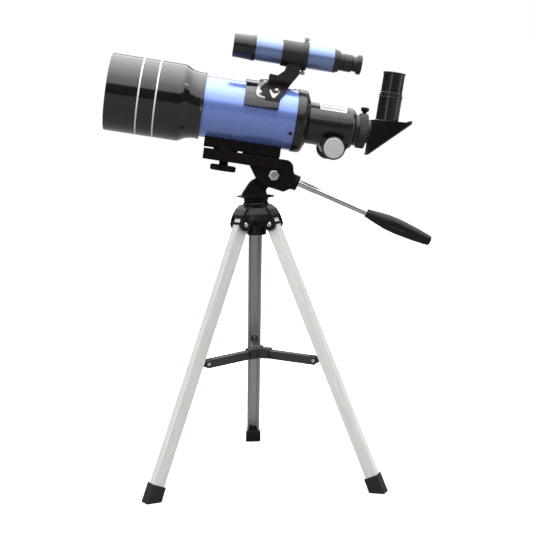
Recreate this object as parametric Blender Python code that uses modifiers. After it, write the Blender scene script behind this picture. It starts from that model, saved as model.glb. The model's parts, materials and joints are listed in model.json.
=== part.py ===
"""Small refracting telescope on a folding table tripod.

Metres, +Z up. The telescope's optical axis lies in the XZ plane, with its front towards -X and
its eyepiece towards +X. Each moving piece hangs from an empty that lies on its joint's axis.
In the optical frame, local X is the position along the tube (called s) and local Z is the height
above the optical axis (called h). In a leg's frame, local X points outwards and the leg runs
down local -Z from its pivot.
"""
import math

import bmesh
import bpy
from mathutils import Vector

GAP = 0.0003                    # clearance between pieces that touch
MERGE = 0.00001
SKETCH_SCALE = 100.0            # outlines are filled this much larger, for the fill's tolerance
EDGE_ALONG_X = (0.0, math.radians(90), 0.0)     # turns a local Z axis to +X
TOWARDS_FRONT = (math.radians(90), 0.0, 0.0)    # turns a local Z axis to -Y

# Optical axis
TUBE_TILT = math.radians(9.7)
AXIS_HEIGHT = 0.4333

# Main tube and its ends
TUBE_RADIUS = 0.0350
TUBE_WALL = 0.0012
TUBE_FRONT = -0.0760
TUBE_REAR = 0.0535
SHIELD_RADIUS = 0.0440
SHIELD_WALL = 0.0022
SHIELD_FRONT = -0.1694
SHIELD_SHOULDER = -0.0830
SHIELD_REAR = -0.0603
SHIELD_NECK = 0.0378
CELL_FLANGE_RADIUS = 0.0366
LENS_RADIUS = 0.0320
LENS_SEAT_RADIUS = 0.0300
LENS_SEAT = -0.0762
CROWN_THICKNESS = 0.0052
FLINT_THICKNESS = 0.0018
REAR_CELL_RADIUS = 0.0362
REAR_CELL_FRONT = 0.0465
REAR_CELL_REAR = 0.0622

# Focuser
FOCUSER_RADIUS = 0.0240
FOCUSER_REAR = 0.1170
SPIGOT_RADIUS = 0.0223
DRAWTUBE_RADIUS = 0.0180
DRAWTUBE_WALL = 0.0017
DRAWTUBE_FRONT = 0.0200
COLLAR_RADIUS = 0.0203
COLLAR_FRONT = 0.1222
COLLAR_LENGTH = 0.0093
COLLAR_LAP = 0.0020
PINION_S = 0.0938
PINION_H = -0.0250
PINION_PITCH_RADIUS = 0.0040
PINION_TEETH = 12
TOOTH_HEIGHT = 0.0005
RACK_FRONT = 0.0440
RACK_REAR = 0.1020
RACK_HALF_WIDTH = 0.0030
PINION_SHAFT_RADIUS = 0.0020
KNOB_RADIUS = 0.0134
KNOB_INNER_FACE = 0.0225
KNOB_OUTER_FACE = 0.0345
THUMBSCREW_S = 0.1270
THUMBSCREW_HEAD_RADIUS = 0.0047
THUMBSCREW_HEAD_LOW = 0.0226
THUMBSCREW_HEAD_HIGH = 0.0277

# Star diagonal and eyepiece
NOSE_RADIUS = 0.0122
NOSE_WALL = 0.0012
NOSE_FRONT = 0.1100
DIAGONAL_FACE = 0.1359
DIAGONAL_TOP = 0.0146
DIAGONAL_TOP_END = (0.1811, 0.0177)
DIAGONAL_TIP = (0.1811, 0.0154)
DIAGONAL_FOOT = (0.1365, -0.0265)
DIAGONAL_HALF_WIDTH = 0.0145
DIAGONAL_WALL = 0.0022
BACK_THICKNESS = 0.0015
MIRROR_THICKNESS = 0.0015
EYEPIECE_S = 0.1545
HOLDER_RADIUS = 0.0133
HOLDER_RIM_RADIUS = 0.0138
HOLDER_TOP = 0.0460
EYEPIECE_TOP = 0.0722
EYEPIECE_RADIUS = 0.0124
EYEPIECE_LIP_RADIUS = 0.0131
EYE_LENS_RADIUS = 0.0080
FIELD_LENS_RADIUS = 0.0108

# Finder
FINDER_H = 0.0745
FINDER_RADIUS = 0.0134
FINDER_WALL = 0.0008
FINDER_FRONT = -0.0170
FINDER_REAR = 0.0812
FINDER_CELL_FRONT = -0.0354
FINDER_CELL_REAR = -0.0100
FINDER_CELL_RADIUS = 0.0145
FINDER_LENS_RADIUS = 0.0120
FINDER_RING_FRONT = 0.0207
FINDER_RING_REAR = 0.0507
FINDER_RING_RADIUS = 0.0149
FINDER_FLANGE_FRONT = 0.0447
FINDER_FLANGE_RADIUS = 0.0165
FINDER_SCREW_S = 0.0477
FINDER_EYE_RADIUS = 0.0100
FINDER_REAR_RING_END = 0.0880
FINDER_EYE_END = 0.1140
SADDLE_THICKNESS = 0.0032
SADDLE_FRONT = -0.0150
SADDLE_REAR = 0.0390
STALK_HALF_WIDTH = 0.0085
RAIL_THICKNESS = 0.0047

# Tube foot, platform and tilt head
FOOT_FRONT = -0.0530
FOOT_REAR = 0.0360
FOOT_HALF_WIDTH = 0.0125
FOOT_BOTTOM = -0.0450
FOOT_PAD = 0.0013
PLATFORM_FRONT = -0.0522
PLATFORM_REAR = 0.0400
PLATFORM_TOP = FOOT_BOTTOM - FOOT_PAD - GAP
PLATFORM_BOTTOM = -0.0590
PLATFORM_HALF_WIDTH = 0.0150
PLATFORM_PLATE = 0.0034
CHEEK_HALF_WIDTH = 0.0115
TONGUE_HALF_WIDTH = 0.0055
TILT_PIVOT = (0.0323, -0.0662)
TILT_EYE_RADIUS = 0.0095
TILT_SWEEP_RADIUS = 0.0254
TILT_BOLT_RADIUS = 0.0030
BOLT_HEAD_RADIUS = 0.0064
BOLT_HEAD_THICKNESS = 0.0038
CAMERA_SCREW_S = -0.0270
CAMERA_KNOB_RADIUS = 0.0150
CAMERA_KNOB_TOP = -0.0635
CAMERA_KNOB_BOTTOM = -0.0702
CAMERA_STUD_RADIUS = 0.0031
CAMERA_STUD_TOP = -0.0400

# Pan handle
HANDLE_START = (0.0638, -0.0709)
HANDLE_SLOPE = math.radians(15.16)
HANDLE_ROD_RADIUS = 0.0039
HANDLE_SOCKET_DEPTH = 0.0100
GRIP_START = 0.0872
GRIP_LENGTH = 0.0840
GRIP_RADIUS = 0.0096

# Pan base and crown
PAN_DISC_RADIUS = 0.0226
PAN_DISC_TOP = 0.3389
PAN_BASE_BOTTOM = 0.3323
PAN_BOLT_RADIUS = 0.0030
PAN_TOWER_HALF_WIDTH = 0.0105
CROWN_TOP = PAN_BASE_BOTTOM - GAP
CROWN_NECK_RADIUS = 0.0146
BOSS_RADIUS = 0.0120
BOSS_BOTTOM = 0.2930
NUT_RECESS_RADIUS = 0.0085
NUT_RECESS_TOP = 0.2995
LOBE_HALF_WIDTH = 0.0116

# Legs
LEG_AZIMUTHS = tuple(math.radians(a) for a in (211.3, 331.3, 91.3))
LEG_PIVOT_RADIUS = 0.0220
LEG_PIVOT_HEIGHT = 0.3066
LEG_SPLAY = math.radians(22.8)
LEG_FOLD = math.radians(20.0)
LEG_DEPTH = 0.0130
LEG_OUTER_WIDTH = 0.0106
LEG_INNER_WIDTH = 0.0170
LEG_WALL = 0.0012
LEG_TOP = 0.0055
LEG_FOOT_HEIGHT = 0.0200
LEG_FOOT_WALL = 0.0017
LEG_PIN_RADIUS = 0.0020
LEG_PIN_HEAD_RADIUS = 0.0029
LEG_PIN_HEAD_THICKNESS = 0.0011

# Spreader
HUB_PIN_RADIUS = 0.0111
HUB_HEIGHT = 0.1511
OUTER_PIN_RADIUS = 0.0720
OUTER_PIN_HEIGHT = 0.1480
ARM_HEIGHT = 0.0100
ARM_HALF_WIDTH = 0.0046
ARM_WALL = 0.0013
HUB_POST_RADIUS = 0.0055
HUB_EAR_THICKNESS = 0.0015
HUB_PLATE_THICKNESS = 0.0015
HUB_TOP = 0.0095
BRACKET_HALF_WIDTH = 0.0044
BRACKET_TONGUE_HALF_WIDTH = 0.0029
BRACKET_STRIP = 0.0014
BRACKET_ABOVE = 0.0070
BRACKET_BELOW = 0.0185
BRACKET_EYE_RADIUS = 0.0032

PARTS = None
CUTTERS = None


# ---------------------------------------------------------------- scene and materials

def clear_scene():
    for obj in list(bpy.data.objects):
        bpy.data.objects.remove(obj, do_unlink=True)


def collection(name):
    group = bpy.data.collections.new(name)
    bpy.context.scene.collection.children.link(group)
    return group


def principled(name, colour, roughness, metallic=0.0):
    material = bpy.data.materials.new(name)
    material.use_nodes = True
    shader = material.node_tree.nodes["Principled BSDF"]
    shader.inputs["Base Color"].default_value = (*colour, 1.0)
    shader.inputs["Roughness"].default_value = roughness
    shader.inputs["Metallic"].default_value = metallic
    return material


def make_materials():
    return {
        "blue": principled("blue_anodised", (0.10, 0.17, 0.50), 0.30, 0.4),
        "gloss": principled("gloss_black_plastic", (0.012, 0.012, 0.012), 0.18),
        "black": principled("matte_black_plastic", (0.015, 0.014, 0.012), 0.45),
        "rubber": principled("black_rubber", (0.02, 0.019, 0.017), 0.8),
        "aluminium": principled("satin_aluminium", (0.62, 0.61, 0.58), 0.38, 0.9),
        "chrome": principled("chromed_steel", (0.70, 0.69, 0.68), 0.12, 1.0),
        "steel": principled("zinc_plated_steel", (0.60, 0.60, 0.58), 0.35, 1.0),
        "glass": principled("coated_glass", (0.75, 0.82, 0.86), 0.02),
        "mirror": principled("mirror_coating", (0.90, 0.90, 0.90), 0.02, 1.0),
        "enamel": principled("black_painted_steel", (0.02, 0.02, 0.02), 0.35, 0.2),
    }


# ---------------------------------------------------------------- building helpers

def frame(name, parent=None, place=(0, 0, 0), turn=(0, 0, 0)):
    """An empty that carries a sub-assembly."""
    empty = bpy.data.objects.new(name, None)
    PARTS.objects.link(empty)
    empty.parent = parent
    empty.location = place
    empty.rotation_euler = turn
    empty.empty_display_size = 0.01
    return empty


def add_object(name, mesh, material, parent, place, turn):
    """Link a mesh as a part, or as a cutter when it has no material."""
    obj = bpy.data.objects.new(name, mesh)
    if material is None:
        CUTTERS.objects.link(obj)
        obj.hide_render = True
        obj.display_type = 'WIRE'
    else:
        PARTS.objects.link(obj)
        mesh.materials.append(material)
    obj.parent = parent
    obj.location = place
    obj.rotation_euler = turn
    return obj


def turned(name, material, profile, parent, place=(0, 0, 0), turn=(0, 0, 0), steps=24, ring=True):
    """Turn a profile of (radius, height) about local Z. A ring's profile is a closed loop."""
    mesh = bpy.data.meshes.new(name)
    shape = bmesh.new()
    points = [shape.verts.new((radius, 0.0, height)) for radius, height in profile]
    pairs = list(zip(points, points[1:]))
    if ring:
        pairs.append((points[-1], points[0]))
    for pair in pairs:
        shape.edges.new(pair)
    shape.to_mesh(mesh)
    shape.free()
    obj = add_object(name, mesh, material, parent, place, turn)
    screw = obj.modifiers.new("Turn", 'SCREW')
    screw.axis = 'Z'
    screw.angle = math.tau
    screw.steps = steps
    screw.render_steps = steps
    screw.use_merge_vertices = True
    screw.merge_threshold = MERGE
    return obj


def along_tube(name, material, profile, parent, steps=24, ring=True, place=(0, 0, 0)):
    """A turned piece whose axis is local X of the optical frame."""
    return turned(name, material, profile, parent, place, EDGE_ALONG_X, steps, ring)


def plate(name, material, outline, low, high, parent, place=(0, 0, 0), turn=(0, 0, 0)):
    """A flat outline in local XY, thickened from low to high along local Z."""
    curve = bpy.data.curves.new(name, 'CURVE')
    curve.dimensions = '2D'
    curve.fill_mode = 'BOTH'
    curve.extrude = SKETCH_SCALE * (high - low) / 2
    spline = curve.splines.new('POLY')
    spline.points.add(len(outline) - 1)
    for point, (x, y) in zip(spline.points, outline):
        point.co = (x * SKETCH_SCALE, y * SKETCH_SCALE, 0.0, 1.0)
    spline.use_cyclic_u = True
    sketch = bpy.data.objects.new(name + "_outline", curve)
    bpy.context.scene.collection.objects.link(sketch)
    evaluated = sketch.evaluated_get(bpy.context.evaluated_depsgraph_get())
    mesh = bpy.data.meshes.new_from_object(evaluated)
    bpy.data.objects.remove(sketch, do_unlink=True)
    mesh.materials.clear()
    shape = bmesh.new()
    shape.from_mesh(mesh)
    bmesh.ops.remove_doubles(shape, verts=shape.verts, dist=SKETCH_SCALE * MERGE / 10)
    bmesh.ops.scale(shape, verts=shape.verts, vec=[1 / SKETCH_SCALE] * 3)
    bmesh.ops.translate(shape, verts=shape.verts, vec=(0, 0, (high + low) / 2))
    bmesh.ops.recalc_face_normals(shape, faces=shape.faces)
    shape.to_mesh(mesh)
    shape.free()
    return add_object(name, mesh, material, parent, place, turn)


def side_plate(name, material, outline, half_width, parent, middle=0.0, place=(0, 0, 0)):
    """An outline of (x, z) points, thickened along Y about the given middle."""
    return plate(name, material, outline, -middle - half_width, -middle + half_width, parent,
                 place, TOWARDS_FRONT)


def rod(name, material, radius, low, high, parent, place=(0, 0, 0), turn=(0, 0, 0), sides=16,
        end_radius=None):
    """A cylinder or cone along local Z from low to high."""
    mesh = bpy.data.meshes.new(name)
    shape = bmesh.new()
    bmesh.ops.create_cone(shape, cap_ends=True, segments=sides, radius1=radius,
                          radius2=radius if end_radius is None else end_radius, depth=high - low)
    bmesh.ops.translate(shape, verts=shape.verts, vec=(0, 0, (high + low) / 2))
    shape.to_mesh(mesh)
    shape.free()
    return add_object(name, mesh, material, parent, place, turn)


def box(name, material, low, high, parent, place=(0, 0, 0), turn=(0, 0, 0)):
    mesh = bpy.data.meshes.new(name)
    shape = bmesh.new()
    bmesh.ops.create_cube(shape, size=1.0)
    low, high = Vector(low), Vector(high)
    bmesh.ops.scale(shape, verts=shape.verts, vec=high - low)
    bmesh.ops.translate(shape, verts=shape.verts, vec=(low + high) / 2)
    shape.to_mesh(mesh)
    shape.free()
    return add_object(name, mesh, material, parent, place, turn)


def combine(obj, other, operation):
    step = obj.modifiers.new(other.name, 'BOOLEAN')
    step.operation = operation
    step.object = other
    step.solver = 'EXACT'


def cut(obj, *others):
    for other in others:
        combine(obj, other, 'DIFFERENCE')


def join(obj, *others):
    for other in others:
        combine(obj, other, 'UNION')


def arc(centre, radius, start, end, steps):
    """Points on an arc, angles in degrees."""
    turns = [math.radians(start + (end - start) * i / steps) for i in range(steps + 1)]
    return [(centre[0] + radius * math.cos(a), centre[1] + radius * math.sin(a)) for a in turns]


def capsule(start, end, radius, steps=6):
    """Outline of a bar with round ends along local X."""
    return arc((start, 0), radius, 90, 270, steps) + arc((end, 0), radius, -90, 90, steps)


def lens_profile(radius, front, back, front_sag, back_sag, steps=3):
    """A lens turned about its axis. Sag is how far the edge lies behind the surface's middle."""
    fractions = [i / steps for i in range(steps + 1)]
    rear = [(radius * f, back + back_sag * f * f) for f in fractions]
    fore = [(radius * f, front + front_sag * f * f) for f in reversed(fractions)]
    return rear + fore


# ---------------------------------------------------------------- optical tube

def make_tube(m, tube):
    bore = TUBE_RADIUS - TUBE_WALL
    along_tube("main_tube", m["blue"], [
        (TUBE_RADIUS, TUBE_REAR), (TUBE_RADIUS, TUBE_FRONT),
        (bore, TUBE_FRONT), (bore, TUBE_REAR)], tube, 30)
    neck_bore = TUBE_RADIUS + 0.0004
    bore = SHIELD_RADIUS - SHIELD_WALL
    along_tube("dew_shield", m["gloss"], [
        (SHIELD_NECK + 0.0003, SHIELD_REAR), (SHIELD_NECK + 0.0003, SHIELD_REAR - 0.0018),
        (SHIELD_NECK, SHIELD_REAR - 0.0025), (SHIELD_NECK + 0.0012, SHIELD_REAR - 0.0090),
        (SHIELD_NECK + 0.0033, SHIELD_SHOULDER + 0.0065),
        (SHIELD_RADIUS - 0.0011, SHIELD_SHOULDER + 0.0020),
        (SHIELD_RADIUS - 0.0003, SHIELD_SHOULDER - 0.0005),
        (SHIELD_RADIUS, SHIELD_SHOULDER - 0.0030), (SHIELD_RADIUS, SHIELD_FRONT),
        (bore, SHIELD_FRONT), (bore, SHIELD_SHOULDER - 0.0035),
        (bore - 0.0013, SHIELD_SHOULDER - 0.0010), (neck_bore + 0.0018, SHIELD_REAR - 0.0127),
        (neck_bore, SHIELD_REAR - 0.0052), (neck_bore, SHIELD_REAR)], tube, 30)


def make_objective(m, tube):
    skirt = TUBE_RADIUS - TUBE_WALL - GAP
    cell_front = LENS_SEAT - 0.0113
    bore = LENS_RADIUS + GAP
    along_tube("objective_cell", m["black"], [
        (skirt, TUBE_FRONT + 0.0120), (skirt, TUBE_FRONT - GAP),
        (CELL_FLANGE_RADIUS, TUBE_FRONT - GAP), (CELL_FLANGE_RADIUS, cell_front),
        (bore, cell_front), (bore, LENS_SEAT),
        (LENS_SEAT_RADIUS, LENS_SEAT), (LENS_SEAT_RADIUS, TUBE_FRONT + 0.0120)], tube, 24)
    flint_back = LENS_SEAT - GAP
    flint_front = flint_back - FLINT_THICKNESS
    inner_sag = 0.0016
    along_tube("objective_flint", m["glass"], lens_profile(
        LENS_RADIUS, flint_front, flint_back, -inner_sag, 0.0), tube, 24, ring=False)
    crown_back = flint_front - GAP
    crown_front = crown_back - CROWN_THICKNESS
    outer_sag = 0.0022
    along_tube("objective_crown", m["glass"], lens_profile(
        LENS_RADIUS, crown_front, crown_back, outer_sag, -inner_sag), tube, 24, ring=False)
    ring_back = crown_front + outer_sag * (LENS_SEAT_RADIUS / LENS_RADIUS) ** 2 - GAP
    ring_front = min(cell_front, ring_back - 0.0030)
    along_tube("objective_ring", m["black"], [
        (LENS_RADIUS, ring_back), (LENS_RADIUS, ring_front),
        (LENS_SEAT_RADIUS, ring_front), (LENS_SEAT_RADIUS, ring_back)], tube, 24)


def make_rear_cell(m, tube):
    over_tube = TUBE_RADIUS + GAP
    over_spigot = SPIGOT_RADIUS + GAP
    along_tube("rear_cell", m["gloss"], [
        (FOCUSER_RADIUS + 0.0016, REAR_CELL_REAR), (REAR_CELL_RADIUS - 0.0020, REAR_CELL_REAR - 0.0040),
        (REAR_CELL_RADIUS - 0.0003, REAR_CELL_REAR - 0.0060),
        (REAR_CELL_RADIUS, REAR_CELL_REAR - 0.0072), (REAR_CELL_RADIUS, REAR_CELL_FRONT),
        (over_tube, REAR_CELL_FRONT), (over_tube, TUBE_REAR + GAP),
        (over_spigot, TUBE_REAR + GAP), (over_spigot, REAR_CELL_REAR)], tube, 30)


# ---------------------------------------------------------------- focuser

def rack_pitch_line():
    return PINION_H + PINION_PITCH_RADIUS


def gear_outline():
    """Pinion teeth about its axis, with a gap between teeth at the top."""
    root = PINION_PITCH_RADIUS - 0.0008
    tip = PINION_PITCH_RADIUS + TOOTH_HEIGHT
    points = []
    for tooth in range(PINION_TEETH):
        middle = 90 + (tooth + 0.5) * 360 / PINION_TEETH
        for angle, radius in ((-7.6, root), (-3.0, tip), (3.0, tip), (7.6, root)):
            turn = math.radians(middle + angle)
            points.append((radius * math.cos(turn), radius * math.sin(turn)))
    return points


def rack_outline(top):
    """Side outline of the toothed rack, with a tooth centred over the pinion."""
    pitch = math.tau * PINION_PITCH_RADIUS / PINION_TEETH
    line = rack_pitch_line()
    root, tip = line + 0.0008, line - TOOTH_HEIGHT
    first = math.ceil((RACK_FRONT + pitch / 2 - PINION_S) / pitch)
    last = math.floor((RACK_REAR - pitch / 2 - PINION_S) / pitch)
    points = [(RACK_FRONT, top), (RACK_FRONT, root)]
    for tooth in range(first, last + 1):
        middle = PINION_S + tooth * pitch
        for offset, height in ((-0.34, root), (-0.09, tip), (0.09, tip), (0.34, root)):
            points.append((middle + offset * pitch * 0.8, height))
    return points + [(RACK_REAR, root), (RACK_REAR, top)]


def make_focuser_body(m, tube):
    bore = DRAWTUBE_RADIUS + 0.0004
    spigot_front = TUBE_REAR + 0.0015
    shoulder = REAR_CELL_REAR + GAP
    body = along_tube("focuser_body", m["gloss"], [
        (FOCUSER_RADIUS - 0.0050, FOCUSER_REAR), (FOCUSER_RADIUS - 0.0024, FOCUSER_REAR - 0.0014),
        (FOCUSER_RADIUS - 0.0006, FOCUSER_REAR - 0.0042), (FOCUSER_RADIUS, FOCUSER_REAR - 0.0075),
        (FOCUSER_RADIUS, shoulder), (SPIGOT_RADIUS, shoulder), (SPIGOT_RADIUS, spigot_front),
        (bore, spigot_front), (bore, FOCUSER_REAR)], tube, 26)
    block = side_plate("focuser_pinion_block", None, [
        (PINION_S - 0.0140, -0.0190), (PINION_S - 0.0140, PINION_H + 0.0010),
        (PINION_S - 0.0095, PINION_H - 0.0062), (PINION_S + 0.0100, PINION_H - 0.0062),
        (PINION_S + 0.0150, PINION_H - 0.0035), (PINION_S + 0.0185, -0.0190)], 0.0150, tube)
    join(body, block)
    rack_slot = box("focuser_rack_slot", None,
                    (spigot_front - 0.01, -RACK_HALF_WIDTH - 0.0005, rack_pitch_line() - 0.0009),
                    (FOCUSER_REAR + 0.01, RACK_HALF_WIDTH + 0.0005, -0.0100), tube)
    seat = (PINION_S, 0, PINION_H)
    pinion_room = rod("focuser_pinion_room", None, PINION_PITCH_RADIUS + TOOTH_HEIGHT + 0.0005,
                      -RACK_HALF_WIDTH - 0.0008, RACK_HALF_WIDTH + 0.0008, tube, seat, TOWARDS_FRONT)
    shaft_bore = rod("focuser_shaft_bore", None, PINION_SHAFT_RADIUS + GAP, -0.03, 0.03, tube,
                     seat, TOWARDS_FRONT)
    cut(body, rack_slot, pinion_room, shaft_bore)


def make_drawtube(m, slider):
    wall = DRAWTUBE_RADIUS - DRAWTUBE_WALL
    rear = COLLAR_FRONT + COLLAR_LAP
    along_tube("drawtube", m["black"], [
        (DRAWTUBE_RADIUS, rear), (DRAWTUBE_RADIUS, DRAWTUBE_FRONT),
        (wall, DRAWTUBE_FRONT), (wall, rear)], slider, 22)
    side_plate("rack", m["black"], rack_outline(-DRAWTUBE_RADIUS - GAP), RACK_HALF_WIDTH, slider)
    end = COLLAR_FRONT + COLLAR_LENGTH
    over_tube = DRAWTUBE_RADIUS + GAP
    nose_bore = NOSE_RADIUS + GAP
    collar = along_tube("drawtube_collar", m["black"], [
        (COLLAR_RADIUS - 0.0006, end), (COLLAR_RADIUS, end - 0.0008),
        (COLLAR_RADIUS, COLLAR_FRONT + 0.0008), (COLLAR_RADIUS - 0.0006, COLLAR_FRONT),
        (over_tube, COLLAR_FRONT), (over_tube, COLLAR_FRONT + COLLAR_LAP + GAP),
        (nose_bore, COLLAR_FRONT + COLLAR_LAP + GAP), (nose_bore, end)], slider, 22)
    cut(collar, rod("collar_screw_hole", None, 0.0018, 0.0, 0.03, slider, (THUMBSCREW_S, 0, 0)))


def make_pinion(m, tube):
    seat = frame("pinion_axis", tube, (PINION_S, 0, PINION_H))
    shaft = rod("pinion_shaft", m["steel"], PINION_SHAFT_RADIUS, -0.0320, 0.0320, seat,
                turn=TOWARDS_FRONT, sides=12)
    join(shaft, side_plate("pinion_gear", None, gear_outline(), RACK_HALF_WIDTH, seat))
    bore = PINION_SHAFT_RADIUS + GAP
    depth = 0.0325
    profile = [
        (0, KNOB_OUTER_FACE), (KNOB_RADIUS - 0.0012, KNOB_OUTER_FACE),
        (KNOB_RADIUS, KNOB_OUTER_FACE - 0.0012), (KNOB_RADIUS, KNOB_INNER_FACE + 0.0030),
        (KNOB_RADIUS - 0.0040, KNOB_INNER_FACE), (bore, KNOB_INNER_FACE), (bore, depth), (0, depth)]
    for name, turn in (("focus_knob_near", math.radians(90)), ("focus_knob_far", math.radians(-90))):
        turned(name, m["black"], profile, seat, turn=(turn, 0, 0), steps=20, ring=False)


def make_thumbscrew(m, slider):
    axis = frame("thumbscrew_axis", slider, (THUMBSCREW_S, 0, 0))
    tip = NOSE_RADIUS + GAP + 0.0002
    neck = THUMBSCREW_HEAD_LOW
    turned("thumbscrew", m["black"], [
        (0, THUMBSCREW_HEAD_HIGH), (THUMBSCREW_HEAD_RADIUS - 0.0008, THUMBSCREW_HEAD_HIGH),
        (THUMBSCREW_HEAD_RADIUS, THUMBSCREW_HEAD_HIGH - 0.0008),
        (THUMBSCREW_HEAD_RADIUS, neck + 0.0008), (THUMBSCREW_HEAD_RADIUS - 0.0015, neck),
        (0.0026, neck), (0.0026, COLLAR_RADIUS + GAP), (0.0014, COLLAR_RADIUS + GAP),
        (0.0014, tip), (0, tip)], axis, steps=16, ring=False)


# ---------------------------------------------------------------- diagonal and eyepiece

def hypotenuse_point(distance, depth):
    """A point along the diagonal's sloping back from its tip, moved inwards by depth."""
    tip, foot = Vector(DIAGONAL_TIP), Vector(DIAGONAL_FOOT)
    run = (foot - tip).normalized()
    inwards = Vector((run.y, -run.x))
    return tuple(tip + run * distance + inwards * depth)


def make_diagonal(m, swivel):
    nose_rear = DIAGONAL_FACE + DIAGONAL_WALL
    along_tube("diagonal_nose", m["chrome"], [
        (NOSE_RADIUS, nose_rear), (NOSE_RADIUS, NOSE_FRONT),
        (NOSE_RADIUS - NOSE_WALL, NOSE_FRONT), (NOSE_RADIUS - NOSE_WALL, nose_rear)], swivel, 22)
    run = (Vector(DIAGONAL_FOOT) - Vector(DIAGONAL_TIP)).length
    inset = BACK_THICKNESS + GAP
    housing = side_plate("diagonal_housing", m["gloss"], [
        (DIAGONAL_FACE, DIAGONAL_TOP), hypotenuse_point(run - 0.0025, inset),
        hypotenuse_point(0.0, inset), DIAGONAL_TOP_END], DIAGONAL_HALF_WIDTH, swivel)
    inner_front = DIAGONAL_FACE + 0.0010 + DIAGONAL_WALL
    inner_top = DIAGONAL_TOP - DIAGONAL_WALL
    room = side_plate("diagonal_room", None, [
        (inner_front, inner_top), (inner_front, DIAGONAL_FOOT[1] + 0.0080),
        hypotenuse_point(run - 0.010, -0.004), hypotenuse_point(0.010, -0.004),
        (DIAGONAL_TIP[0] - 0.0086, inner_top)],
        DIAGONAL_HALF_WIDTH - DIAGONAL_WALL, swivel)
    nose_hole = rod("diagonal_nose_hole", None, NOSE_RADIUS + GAP, DIAGONAL_FACE - 0.01,
                    inner_front + 0.002, swivel, turn=EDGE_ALONG_X, sides=22)
    holder_hole = rod("diagonal_holder_hole", None, HOLDER_RADIUS + GAP, inner_top - 0.002, 0.03,
                      swivel, (EYEPIECE_S, 0, 0), sides=22)
    cut(housing, room, nose_hole, holder_hole)
    side_plate("diagonal_back", m["gloss"], [
        hypotenuse_point(0, 0), hypotenuse_point(run, 0), hypotenuse_point(run - 0.0013, BACK_THICKNESS),
        hypotenuse_point(0, BACK_THICKNESS)], DIAGONAL_HALF_WIDTH, swivel)
    low, high = inset, inset + MIRROR_THICKNESS
    side_plate("diagonal_mirror", m["mirror"], [
        hypotenuse_point(0.0110, low), hypotenuse_point(run - 0.0122, low),
        hypotenuse_point(run - 0.0122, high), hypotenuse_point(0.0110, high)],
        DIAGONAL_HALF_WIDTH - DIAGONAL_WALL - 0.0005, swivel)
    holder_bottom = DIAGONAL_TOP - 0.0010
    bore = NOSE_RADIUS + GAP
    turned("eyepiece_holder", m["gloss"], [
        (HOLDER_RIM_RADIUS, HOLDER_TOP), (HOLDER_RIM_RADIUS, HOLDER_TOP - 0.0022),
        (HOLDER_RADIUS, HOLDER_TOP - 0.0025), (HOLDER_RADIUS, holder_bottom),
        (bore, holder_bottom), (bore, HOLDER_TOP)], swivel, (EYEPIECE_S, 0, 0), steps=20)


def make_eyepiece(m, swivel):
    axis = frame("eyepiece_axis", swivel, (EYEPIECE_S, 0, 0))
    foot = HOLDER_TOP + GAP
    turned("eyepiece_barrel", m["chrome"], [
        (NOSE_RADIUS, HOLDER_TOP), (NOSE_RADIUS, 0.0190),
        (FIELD_LENS_RADIUS + GAP, 0.0190), (FIELD_LENS_RADIUS + GAP, HOLDER_TOP)], axis, steps=20)
    seat = EYEPIECE_TOP - 0.0116
    turned("eyepiece_body", m["gloss"], [
        (EYEPIECE_LIP_RADIUS - 0.0006, EYEPIECE_TOP), (EYEPIECE_LIP_RADIUS, EYEPIECE_TOP - 0.0005),
        (EYEPIECE_LIP_RADIUS, EYEPIECE_TOP - 0.0022), (EYEPIECE_RADIUS, EYEPIECE_TOP - 0.0029),
        (EYEPIECE_RADIUS, foot), (0.0100, foot), (0.0100, seat - 0.0016),
        (EYE_LENS_RADIUS - 0.0008, seat - 0.0016), (EYE_LENS_RADIUS - 0.0008, seat),
        (EYE_LENS_RADIUS + GAP, seat), (EYE_LENS_RADIUS + GAP, seat + 0.0044),
        (EYE_LENS_RADIUS - 0.0016, seat + 0.0048), (EYE_LENS_RADIUS - 0.0016, seat + 0.0056),
        (0.0108, EYEPIECE_TOP)], axis, steps=20)
    turned("eye_lens", m["glass"], lens_profile(
        EYE_LENS_RADIUS, seat + GAP, seat + 0.0036, 0.0, -0.0012), axis, steps=20, ring=False)
    field = 0.0300
    turned("field_lens", m["glass"], lens_profile(
        FIELD_LENS_RADIUS, field, field + 0.0040, 0.0014, 0.0), axis, steps=20, ring=False)


# ---------------------------------------------------------------- finder

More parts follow.
